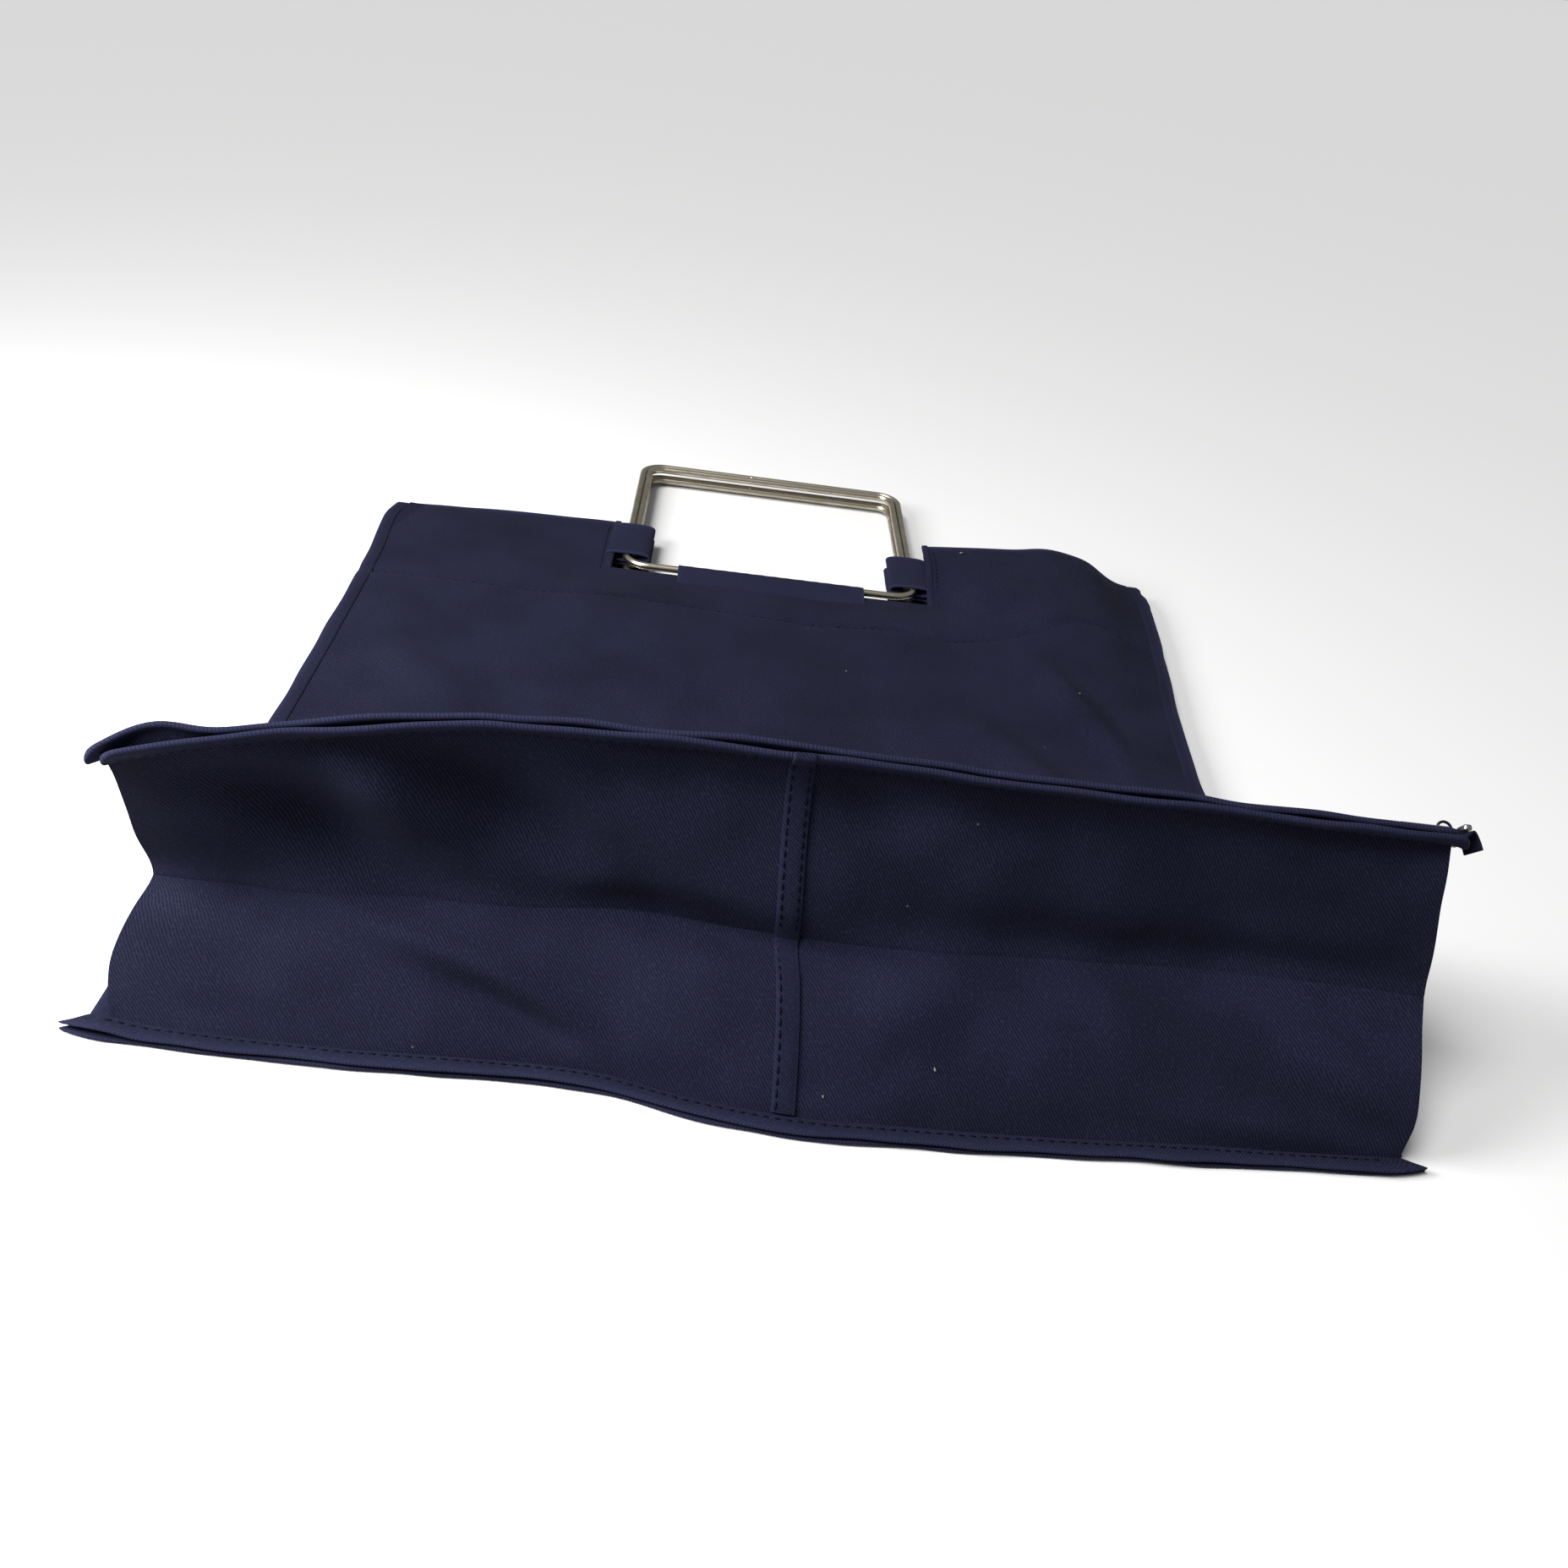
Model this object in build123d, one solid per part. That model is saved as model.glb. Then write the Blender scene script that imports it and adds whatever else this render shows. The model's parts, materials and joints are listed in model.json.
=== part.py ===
"""Flat-folding cloth shopping bag with twin wire handles and a bottom that opens into a box.

The bag lies on its back panel. X runs across the bag, Y runs from the bottom to the mouth
and the handles, Z is up. The origin is the centre of the back panel's underside.
Sizes are in millimetres.
"""
from build123d import *
from math import acos, atan2, cos, degrees, hypot, radians, sin
import os

# Driving sizes: the cloth body
cloth = 0.8                  # heavy cotton drill
panel_width = 392.0          # side seam to side seam
panel_length = 390.0         # bottom seam to mouth
gusset_width = 112.0         # cloth between the two panels, folded once along its middle
seam_width = 6.0             # pinched seam that stands out past each panel edge
seam_thickness = 2.6
seam_corner_radius = 1.0
ear_length = 5.0             # how far a seam's corner points past the side seam

# Driving sizes: the bottom that opens
lift_length = 108.0          # from the fold across the front panel to the bottom seam
seam_setback = 2.0           # folded flat, the front bottom seam stops this far inside the back one
open_share = 0.91            # how much of the gusset's width the open bottom spans at rest
crease_clearance = 4.4       # each gusset half stops this short of the shared crease
centre_seam_width = 8.0
centre_seam_thickness = 1.6
fold_bend = 4.0              # depth of the bend along a side gusset's crease
corner_thickness = 0.64      # corner folds, measured across the bag
corner_lean = 0.32           # and how far their two faces are shifted up or in

# Driving sizes: the mouth
notch_side = 7.0             # from the middle of the handle's post to the side of the notch
notch_depth = 54.6
facing_depth = 90.0
bare_wire = 15.5             # the lower bar shows this much between casing and corner
casing_tail = 20.0

# Driving sizes: the wire handles
wire_diameter = 3.6
handle_width = 150.0         # between the centres of the outer wire's two posts
handle_height = 135.3        # between the centres of its lower and upper bars
handle_corner_radius = 12.0
handle_rise = 7.0            # the lower bar's centre stands this far above the notch's edge
inner_wire_start = 12.0      # the inner wire starts this far above the lower bar
loop_width = 21.6            # cloth loop round a post, across the bag
loop_length = 36.0           # the same loop, along the post
loop_start = 8.0             # the loop starts this far above the lower bar

# Driving sizes: the zip
tape_width = 14.0
tape_thickness = 0.6
tape_tail = 6.0              # free end of the tape past the right-hand stop
tape_margin = 1.6            # and past the left-hand one
zip_inset = 11.0             # from the bottom seam to the middle of the zip
coil_width = 5.0
coil_thickness = 1.4
coil_web_width = 1.2
coil_web_height = 0.7
zip_overhang = 13.0          # the coil ends this far past the side seam line, on the right
zip_left_inset = 72.0        # and this far inside it on the left
slider_length = 11.2
slider_wall = 1.2
slider_lip = 0.3
slider_bridge_radius = 2.3
slider_bridge_diameter = 0.9
pull_length = 17.0
pull_width = 5.4
pull_thickness = 0.9
pull_corner_radius = 0.9
pull_rail = 1.1              # each side of the window in the pull
pull_end = 0.3               # the pull stops this far past the middle of its pin
pull_hole_diameter = 2.4
pull_pin_diameter = 1.0
stop_length = 2.6
stop_rise = 0.6              # end stops stand this far above the coil

# Fits and clearances
wire_running_clearance = 0.06   # radial, handle bar in its cloth casing
nested_wire_gap = 0.05          # between the outer and the inner wire
cloth_gap = 0.15                # between cloths that fold over each other
tail_gap = 0.05                 # each side of a casing's tail, between panel and facing
facing_gap = 0.1                # between a facing and the side gusset
side_clearance = 2.5            # gusset halves stay this far inside the panel's edge
loop_clearance = 0.4            # loop to the notch's side, and round the wire
handle_gap = 0.8                # between the front and the back handle's loops
ground_gap = 0.05               # between the back handle's loops and the ground
zip_clearance = 0.25            # slider to coil
stop_clearance = 0.2            # slider to end stop at rest
pull_clearance = 0.12           # pull to bridge

# Worked out from the above
notch_width = handle_width + 2 * notch_side
casing_length = handle_width - 2 * handle_corner_radius - 2 * bare_wire
half_width = panel_width / 2
half_length = panel_length / 2
wire_radius = wire_diameter / 2
notch_edge = half_length - notch_depth
bar_y = notch_edge + handle_rise
bore_radius = wire_radius + wire_running_clearance
casing_radius = bore_radius + cloth
loop_height = wire_diameter + loop_clearance + 2 * cloth
back_bar_z = ground_gap + loop_height / 2
front_bar_z = back_bar_z + loop_height + handle_gap
front_middle = front_bar_z
front_inner = front_middle - cloth / 2
fold_y = -half_length + lift_length + seam_setback

# The bottom opens until its two seams stand open_share of the gusset's width apart.
lower_hinge = (-half_length + cloth / 2 + cloth_gap, 1.5 * cloth + cloth_gap)
hinge_along = lift_length - cloth / 2
hinge_inward = cloth + cloth_gap
fold_from_hinge = (fold_y - lower_hinge[0], front_middle - lower_hinge[1])
lower_reach = hypot(*fold_from_hinge)
upper_reach = hypot(hinge_along, hinge_inward)
open_span = open_share * gusset_width
between_reaches = acos(
    (lower_reach**2 + upper_reach**2 - open_span**2) / (2 * lower_reach * upper_reach)
)
lift_angle = degrees(
    between_reaches
    - atan2(fold_from_hinge[1], fold_from_hinge[0])
    + atan2(hinge_inward, hinge_along)
)


def lift_point(along, out):
    """A point on the lifting part: along it from the fold, and out from its middle surface."""
    turn = radians(lift_angle)
    return (
        fold_y - along * cos(turn) + out * sin(turn),
        front_middle + along * sin(turn) + out * cos(turn),
    )


def along_x(outline, start, end):
    """A prism along X from an outline of (y, z) points."""
    plane = Plane(origin=(start, 0, 0), x_dir=(0, 1, 0), z_dir=(1, 0, 0))
    return extrude(plane * make_face(Polyline(*outline, close=True)), amount=end - start)


def along_y(outline, start, end):
    """A prism along Y from an outline of (x, z) points."""
    plane = Plane(origin=(0, start, 0), x_dir=(1, 0, 0), z_dir=(0, -1, 0))
    return extrude(plane * make_face(Polyline(*outline, close=True)), amount=start - end)


def flat_cloth(outline, bottom, thickness=cloth):
    """A flat piece from an outline of (x, y) points."""
    return Pos(0, 0, bottom) * extrude(make_face(Polyline(*outline, close=True)), amount=thickness)


def cloth_leaf(start, end, first_x, last_x, thickness=cloth):
    """A stiff leaf between two (y, z) lines along X, with a rolled round edge on each."""
    length = hypot(end[0] - start[0], end[1] - start[1])
    plane = Plane(
        origin=(first_x, (start[0] + end[0]) / 2, (start[1] + end[1]) / 2),
        x_dir=(0, end[0] - start[0], end[1] - start[1]),
        z_dir=(1, 0, 0),
    )
    return extrude(plane * SlotCenterToCenter(length, thickness), amount=last_x - first_x)


def mirrored(shape):
    """The same piece on the other side of the bag."""
    return mirror(shape, about=Plane.YZ)


def solid_from_triangles(corners, triangles, shift):
    """A thin closed sheet: triangles over shared corners, given thickness by one shift."""
    low = [Vector(*corner) for corner in corners]
    high = [corner + Vector(*shift) for corner in low]
    faces = []
    edges = {}
    for a, b, c in triangles:
        faces.append(Face(Wire.make_polygon([low[a], low[b], low[c]])))
        faces.append(Face(Wire.make_polygon([high[a], high[c], high[b]])))
        for edge in ((a, b), (b, c), (c, a)):
            edges[frozenset(edge)] = edges.get(frozenset(edge), []) + [edge]
    for uses in edges.values():
        if len(uses) == 1:
            a, b = uses[0]
            faces.append(Face(Wire.make_polygon([low[a], high[a], high[b], low[b]])))
    return Solid(Shell(faces))


parts = {}

# Back and front panels, each with the notch for the handles cut into its mouth edge.
notched = [
    (-half_width, half_length),
    (-notch_width / 2, half_length),
    (-notch_width / 2, notch_edge),
    (notch_width / 2, notch_edge),
    (notch_width / 2, half_length),
    (half_width, half_length),
]
parts["back_panel"] = flat_cloth(
    notched + [(half_width, -half_length), (-half_width, -half_length)], 0
)
front_start = fold_y + cloth / 2 + cloth_gap
parts["front_panel"] = flat_cloth(
    notched + [(half_width, front_start), (-half_width, front_start)], front_inner
)

# Lifting part: the same front cloth below the fold, which swings up to open the bottom.
fold_line = lift_point(0, 0)
parts["front_panel_lift"] = cloth_leaf(
    fold_line, lift_point(hinge_along, 0), -half_width, half_width
)

# Facings: a second layer turned in round the mouth, inside both panels.
facing_side = half_width - gusset_width / 2 - 2 * cloth
facing_bottom = half_length - facing_depth
facing = [
    (-facing_side, half_length),
    (-notch_width / 2, half_length),
    (-notch_width / 2, notch_edge),
    (notch_width / 2, notch_edge),
    (notch_width / 2, half_length),
    (facing_side, half_length),
    (facing_side, facing_bottom),
    (-facing_side, facing_bottom),
]
facing_offset = cloth + 2 * tail_gap
parts["back_facing"] = flat_cloth(facing, cloth + facing_offset)
parts["front_facing"] = flat_cloth(facing, front_inner - facing_offset - cloth)


def handle_casing(bar_z, panel_face, inward):
    """A sleeve of cloth round the handle's lower bar, with a tail sewn inside the panel."""
    tail_middle = panel_face + inward * (cloth / 2 + tail_gap)
    low = tail_middle - cloth / 2
    tail = Pos(0, notch_edge + handle_rise / 2 - casing_tail / 2, low + cloth / 2) * Box(
        casing_length, casing_tail + handle_rise, cloth
    )
    sleeve = Pos(0, bar_y, bar_z) * Rot(0, 90, 0) * Cylinder(casing_radius, casing_length)
    bore = Pos(0, bar_y, bar_z) * Rot(0, 90, 0) * Cylinder(bore_radius, casing_length + 2)
    return tail + sleeve - bore


parts["back_handle_casing"] = handle_casing(back_bar_z, cloth, 1)
parts["front_handle_casing"] = handle_casing(front_bar_z, front_inner, -1)


# Handles: a closed wire rectangle and a shorter wire nested inside it on three sides.
def swept_wire(path):
    section = Plane(origin=path @ 0, z_dir=path % 0) * Circle(wire_radius)
    return sweep(section, path=path)


def outer_wire(bar_z):
    left, right = -handle_width / 2, handle_width / 2
    low, high = bar_y, bar_y + handle_height
    corners = [(left, low, bar_z), (right, low, bar_z), (right, high, bar_z), (left, high, bar_z)]
    return swept_wire(FilletPolyline(*corners, radius=handle_corner_radius, close=True))


def inner_wire(bar_z):
    inset = wire_diameter + nested_wire_gap
    side = handle_width / 2 - inset
    low, high = bar_y + inner_wire_start, bar_y + handle_height - inset
    corners = [(-side, low, bar_z), (-side, high, bar_z), (side, high, bar_z), (side, low, bar_z)]
    return swept_wire(FilletPolyline(*corners, radius=handle_corner_radius - inset))


def post_loop(bar_z):
    """A flattened cloth tube round the right-hand post, held in the notch's side."""
    outer_end = notch_width / 2 - loop_clearance
    middle = outer_end - loop_width / 2
    plane = Plane(
        origin=(middle, bar_y + loop_start, bar_z), x_dir=(1, 0, 0), z_dir=(0, 1, 0)
    )
    outside = extrude(plane * SlotOverall(loop_width, loop_height), amount=loop_length)
    inside = extrude(
        plane * SlotOverall(loop_width - 2 * cloth, loop_height - 2 * cloth), amount=loop_length
    )
    return outside - inside


for side_name, bar_z in (("back", back_bar_z), ("front", front_bar_z)):
    parts[f"{side_name}_handle_outer_wire"] = outer_wire(bar_z)
    parts[f"{side_name}_handle_inner_wire"] = inner_wire(bar_z)
    loop = post_loop(bar_z)
    parts[f"{side_name}_post_loop_right"] = loop
    parts[f"{side_name}_post_loop_left"] = mirrored(loop)

# Bottom gusset: two halves that hinge at the bottom seams and meet at the middle crease.
upper_hinge = lift_point(hinge_along, -hinge_inward)
half_gusset = gusset_width / 2
leaf_length = half_gusset - crease_clearance


def crease_between(lower, upper):
    """Where two equal gusset halves meet, folded into the bag."""
    span_y, span_z = upper[0] - lower[0], upper[1] - lower[1]
    span = hypot(span_y, span_z)
    turn_in = acos(span / 2 / half_gusset)
    slope = atan2(span_z, span_y) - turn_in
    return lower[0] + half_gusset * cos(slope), lower[1] + half_gusset * sin(slope)


crease = crease_between(lower_hinge, upper_hinge)


def toward_crease(hinge, distance, out=0.0):
    """A (y, z) point on a gusset half, and out from it on the side away from the bag."""
    slope = atan2(crease[1] - hinge[1], crease[0] - hinge[0])
    outward = -1 if hinge is upper_hinge else 1
    return (
        hinge[0] + distance * cos(slope) - outward * out * sin(slope),
        hinge[1] + distance * sin(slope) + outward * out * cos(slope),
    )


leaf_end_x = half_width - side_clearance
for half_name, hinge in (("lower", lower_hinge), ("upper", upper_hinge)):
    tip = toward_crease(hinge, leaf_length)
    leaf = cloth_leaf(hinge, tip, cloth_gap / 2, leaf_end_x)
    parts[f"gusset_{half_name}_right"] = leaf
    parts[f"gusset_{half_name}_left"] = mirrored(leaf)
    # Felled seam that joins the left and right gusset pieces, raised on the outside.
    seam_start = 4 * cloth
    seam_end = leaf_length - cloth - 2 * centre_seam_thickness
    seam = [
        toward_crease(hinge, seam_start, cloth / 2),
        toward_crease(hinge, seam_end, cloth / 2),
        toward_crease(hinge, seam_end, cloth / 2 + centre_seam_thickness),
        toward_crease(hinge, seam_start, cloth / 2 + centre_seam_thickness),
    ]
    parts[f"centre_seam_{half_name}"] = along_x(
        seam, -centre_seam_width / 2, centre_seam_width / 2
    )

# Side gussets: the same cloth where it runs up each side, folded flat between the panels.
side_low = 2 * cloth + facing_offset + facing_gap
side_high = front_inner - facing_offset - cloth - facing_gap
side_middle = (side_low + side_high) / 2
side_outer = half_width - cloth
side_crease = half_width - half_gusset
side_fold = [
    (side_outer, side_low),
    (side_crease, side_middle - cloth / 2),
    (side_crease, side_middle + cloth / 2),
    (side_outer, side_high),
    (side_outer, side_high - cloth),
    (side_crease + fold_bend, side_middle),
    (side_outer, side_low + cloth),
]
side_start = fold_y + 2 * cloth
parts["side_gusset_right"] = along_y(side_fold, side_start, half_length)
parts["side_gusset_left"] = mirrored(parts["side_gusset_right"])

# Corner folds: where the gusset turns from the bottom up the side, opened into a fan.
fan_x = half_width - 1.5 * cloth
fan_depth = 2 * cloth
fan_end_y = side_start - cloth
lean_inward = [low - high for low, high in zip(lift_point(0, 0), lift_point(0, corner_lean))]
lower_fan = solid_from_triangles(
    [
        (fan_x, lower_hinge[0] + cloth, 2 * cloth),
        (fan_x, *crease),
        (side_crease, fan_end_y, side_middle - cloth / 2),
        (fan_x, fan_end_y, side_low),
    ],
    [(0, 1, 2), (0, 2, 3)],
    (corner_thickness, 0, corner_lean),
)
upper_fan = solid_from_triangles(
    [
        (fan_x, *lift_point(lift_length - fan_depth, -fan_depth)),
        (fan_x, crease[0], crease[1] + cloth),
        (side_crease, fan_end_y, side_middle + cloth),
        (fan_x, *lift_point(0, -fan_depth)),
    ],
    [(0, 1, 2), (0, 2, 3)],
    (corner_thickness, *lean_inward),
)
parts["corner_fold_lower_right"] = lower_fan
parts["corner_fold_upper_right"] = upper_fan
parts["corner_fold_lower_left"] = mirrored(lower_fan)
parts["corner_fold_upper_left"] = mirrored(upper_fan)


# Pinched seams: panel edge and gusset edge sewn together, standing out all round.
def rounded_bar(width, length):
    return extrude(RectangleRounded(width, seam_thickness, seam_corner_radius), amount=length)


seam_line_x = half_width + seam_width / 2
side_seam = Rot(-90, 0, 0) * rounded_bar(seam_width, panel_length)
parts["back_side_seam_right"] = Pos(seam_line_x, -half_length, seam_thickness / 2) * side_seam
front_side_seam = Rot(-90, 0, 0) * rounded_bar(seam_width, half_length - side_start)
parts["front_side_seam_right"] = Pos(seam_line_x, side_start, front_middle) * front_side_seam
lift_frame = Plane(
    origin=(0, *fold_line),
    x_dir=(1, 0, 0),
    z_dir=(0, lift_point(0, 1)[0] - fold_line[0], lift_point(0, 1)[1] - fold_line[1]),
)
lift_seam_start = 2 * cloth + seam_thickness / 2
lift_seam_end = lift_length - zip_inset - tape_width / 2 - cloth_gap
lift_seam = Rot(90, 0, 0) * rounded_bar(seam_width, lift_seam_end - lift_seam_start)
parts["lift_side_seam_right"] = lift_frame * Pos(seam_line_x, -lift_seam_start, 0) * lift_seam
for name in ("back_side_seam", "front_side_seam", "lift_side_seam"):
    parts[f"{name}_left"] = mirrored(parts[f"{name}_right"])


def bottom_seam():
    """A seam along the bottom edge, lying along X, whose corners flare into pointed ears."""
    inner_end = half_width + seam_width
    outer_end = inner_end + ear_length
    bar = Rot(0, 90, 0) * Rot(0, 0, 90) * rounded_bar(seam_width, 2 * outer_end)
    bar = Pos(-outer_end, -seam_width / 2, 0) * bar
    flare = [
        (-inner_end, 0),
        (-outer_end, -seam_width),
        (outer_end, -seam_width),
        (inner_end, 0),
    ]
    return bar & flat_cloth(flare, -seam_thickness, 2 * seam_thickness)


parts["back_bottom_seam"] = Pos(0, -half_length, seam_thickness / 2) * bottom_seam()
parts["front_bottom_seam"] = lift_frame * Pos(0, -lift_length, 0) * bottom_seam()


# Zip along the front bottom seam, on the outside of the lifting part.
zip_along = lift_length - zip_inset
tape_top = cloth / 2 + tape_thickness
coil_low = tape_top + coil_web_height
coil_top = coil_low + coil_thickness
coil_left = -half_width + zip_left_inset
coil_right = half_width + zip_overhang


def on_lift(outline, start, end):
    """A prism along X from an outline of (along the lift from the zip's middle, out)."""
    return along_x([lift_point(zip_along + a, out) for a, out in outline], start, end)


def block(low_a, high_a, low_out, high_out):
    return [(low_a, low_out), (high_a, low_out), (high_a, high_out), (low_a, high_out)]


parts["zip_tape"] = on_lift(
    block(-tape_width / 2, tape_width / 2, cloth / 2, tape_top),
    coil_left - stop_length - tape_margin,
    coil_right + stop_length + tape_tail,
)
web, coil = coil_web_width / 2, coil_width / 2
parts["zip_coil"] = on_lift(
    [
        (-web, tape_top),
        (web, tape_top),
        (web, coil_low),
        (coil, coil_low),
        (coil, coil_top),
        (-coil, coil_top),
        (-coil, coil_low),
        (-web, coil_low),
    ],
    coil_left,
    coil_right,
)
stop = block(-coil, coil, tape_top, coil_top + stop_rise)
parts["zip_end_stops"] = Compound(
    children=[
        on_lift(stop, coil_left - stop_length, coil_left),
        on_lift(stop, coil_right, coil_right + stop_length),
    ]
)

# Slider: a channel that wraps the coil, with a bridge over it that holds the pull.
slider_right = coil_right - stop_clearance
slider_left = slider_right - slider_length
room, lip_room = coil + zip_clearance, web + zip_clearance
wall = room + slider_wall
slot_low = coil_low - zip_clearance
slot_high = coil_top + zip_clearance
slider_low = slot_low - slider_lip
slider_top = slot_high + slider_wall
channel = on_lift(
    [
        (-lip_room, slider_low),
        (-wall, slider_low),
        (-wall, slider_top),
        (wall, slider_top),
        (wall, slider_low),
        (lip_room, slider_low),
        (lip_room, slot_low),
        (room, slot_low),
        (room, slot_high),
        (-room, slot_high),
        (-room, slot_low),
        (-lip_room, slot_low),
    ],
    slider_left,
    slider_right,
)
slider_middle = (slider_left + slider_right) / 2
zip_frame = lift_frame * Pos(slider_middle, -zip_along, 0)
post_height = pull_pin_diameter + pull_clearance
bridge_plane = zip_frame * Pos(0, 0, slider_top) * Rot(90, 0, 0)
reach = slider_bridge_radius
bridge_path = bridge_plane * Wire(
    [
        Line((-reach, -slider_wall / 2), (-reach, post_height)),
        ThreePointArc((-reach, post_height), (0, post_height + reach), (reach, post_height)),
        Line((reach, post_height), (reach, -slider_wall / 2)),
    ]
)
bridge = sweep(
    Plane(origin=bridge_path @ 0, z_dir=bridge_path % 0) * Circle(slider_bridge_diameter / 2),
    path=bridge_path,
)
parts["zip_slider"] = channel + bridge

# Pull: a flat tab whose pin passes under the bridge, lying along the coil at rest.
pin_radius = pull_pin_diameter / 2
pin_out = slider_top + pull_clearance + pin_radius
pull_frame = zip_frame * Pos(0, 0, pin_out)
pull_outline = RectangleRounded(pull_length, pull_width, pull_corner_radius)
pull_body = Pos(pull_end - pull_length / 2, 0, -pull_thickness / 2) * extrude(
    pull_outline, amount=pull_thickness
)
window_length = pin_radius + post_height + reach + 2 * slider_bridge_diameter
window_width = pull_width - 2 * pull_rail
window = Pos(-window_length / 2, 0, 0) * Box(window_length, window_width, 2 * pull_thickness)
end_opening = Pos(pull_end, 0, 0) * Box(2 * pull_end, window_width, 2 * pull_thickness)
pin = Rot(90, 0, 0) * Cylinder(pin_radius, pull_width - pull_rail)
finger_hole = Pos(pull_end - pull_length + pull_width / 2, 0, 0) * Cylinder(
    pull_hole_diameter / 2, 2 * pull_thickness
)
parts["zip_pull"] = pull_frame * (pull_body - window - end_opening - finger_hole + pin)

os.makedirs("parts", exist_ok=True)
for name, shape in parts.items():
    export_step(shape, f"parts/{name}.step")

print(f"{len(parts)} nodes; the lift stands open at {lift_angle:.3f} degrees")
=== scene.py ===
"""Looks of a folding cloth shopping bag, lying on its back panel with its bottom pulled open.

The script follows the bag as it is sewn: the room, the cloth, the two panels, the bottom gusset,
the seams, the zip, and then the wire handles. Lengths are in metres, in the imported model's frame.
"""
import json
import math

import bpy
from mathutils import Matrix, Vector, noise


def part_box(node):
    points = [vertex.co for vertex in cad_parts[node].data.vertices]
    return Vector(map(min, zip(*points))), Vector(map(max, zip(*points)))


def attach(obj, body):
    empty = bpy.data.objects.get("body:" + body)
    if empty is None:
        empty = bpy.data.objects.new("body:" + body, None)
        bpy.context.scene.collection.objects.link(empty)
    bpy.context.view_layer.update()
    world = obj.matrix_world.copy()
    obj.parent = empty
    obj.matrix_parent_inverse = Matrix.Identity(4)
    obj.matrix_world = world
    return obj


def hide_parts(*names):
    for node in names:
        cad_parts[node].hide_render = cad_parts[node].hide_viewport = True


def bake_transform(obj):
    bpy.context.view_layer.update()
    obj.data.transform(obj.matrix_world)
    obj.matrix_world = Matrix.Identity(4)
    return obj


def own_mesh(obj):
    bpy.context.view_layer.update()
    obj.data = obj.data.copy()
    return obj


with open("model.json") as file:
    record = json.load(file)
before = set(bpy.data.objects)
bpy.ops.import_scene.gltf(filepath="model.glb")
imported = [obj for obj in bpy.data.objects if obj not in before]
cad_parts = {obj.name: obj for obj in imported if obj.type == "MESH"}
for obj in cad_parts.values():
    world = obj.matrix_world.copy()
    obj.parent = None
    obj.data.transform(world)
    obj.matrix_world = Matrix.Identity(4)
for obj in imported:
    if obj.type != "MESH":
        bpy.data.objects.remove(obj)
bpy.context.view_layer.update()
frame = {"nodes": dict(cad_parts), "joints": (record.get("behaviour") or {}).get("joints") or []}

joints = {joint["name"]: joint for joint in frame["joints"]}
bpy.ops.object.select_all(action="DESELECT")

# ---------------------------------------------------------------------------------------------
# The room: a pale table top, pale walls, a window high up on the left and a lamp at the left end.
# The camera stands past the bottom of the bag, looks down on it and is held a little tilted.
camera_place = Vector((-0.0376, -0.4822, 0.3086))
camera_yaw, camera_pitch, camera_roll = (math.radians(a) for a in (5.54, 33.72, 9.35))
camera_lens = 31.07

ahead = Vector(
    (
        math.sin(camera_yaw) * math.cos(camera_pitch),
        math.cos(camera_yaw) * math.cos(camera_pitch),
        -math.sin(camera_pitch),
    )
)
level = ahead.cross(Vector((0, 0, 1))).normalized()
upward = level.cross(ahead)
right = level * math.cos(camera_roll) + upward * math.sin(camera_roll)
above = upward * math.cos(camera_roll) - level * math.sin(camera_roll)
bpy.ops.object.camera_add(location=camera_place)
camera = bpy.context.object
camera.rotation_euler = Matrix((right, above, -ahead)).transposed().to_euler()
camera.data.lens = camera_lens
camera.data.sensor_width = 36
camera.data.clip_start = 0.01
bpy.context.scene.camera = camera

bpy.ops.mesh.primitive_plane_add(size=400, location=(0, 0, -0.0003))
floor = bpy.context.object
floor.name = "table_top"
floor_paint = bpy.data.materials.new("pale table top")
floor_paint.use_nodes = True
floor_shader = floor_paint.node_tree.nodes["Principled BSDF"]
floor_shader.inputs["Base Color"].default_value = (0.50, 0.50, 0.50, 1)
floor_shader.inputs["Roughness"].default_value = 0.9
floor.data.materials.append(floor_paint)

room = bpy.data.worlds.new("pale walls")
bpy.context.scene.world = room
room.use_nodes = True
room.node_tree.nodes["Background"].inputs["Color"].default_value = (0.95, 0.97, 1.0, 1)
room.node_tree.nodes["Background"].inputs["Strength"].default_value = 0.32


def soft_light(name, heading, softness, strength, tint):
    """Even light from one direction, softened as if by a large diffuser."""
    bpy.ops.object.light_add(type="SUN", location=(0, 0, 1))
    lamp = bpy.context.object
    lamp.name = name
    lamp.rotation_euler = Vector(heading).to_track_quat("-Z", "Y").to_euler()
    lamp.data.angle = math.radians(softness)
    lamp.data.energy = strength
    lamp.data.color = tint


window_heading = (0.42, 0.15, -0.89)
lamp_place = (-0.50, -0.21, 0.38)
lamp_heading = Vector((0.46, 0.09, -0.35))
soft_light("window_light", window_heading, 24, 3.8, (1.0, 0.99, 0.98))
bpy.ops.object.light_add(type="AREA", location=lamp_place)
near_lamp = bpy.context.object
near_lamp.name = "near_lamp"
near_lamp.rotation_euler = lamp_heading.to_track_quat("-Z", "Y").to_euler()
near_lamp.data.size = 0.3
near_lamp.data.energy = 9.5
bpy.context.scene.view_settings.view_transform = "Standard"

# ---------------------------------------------------------------------------------------------
# The cloth: navy cotton drill, a twill whose fine ribs run slantwise across each piece.
# It is a little faded and rubbed where it is folded, and it holds some lint.
rib_pitch = 0.00095
thread_pitch = 0.00042
lint_grey = (0.12, 0.11, 0.10, 1)


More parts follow.
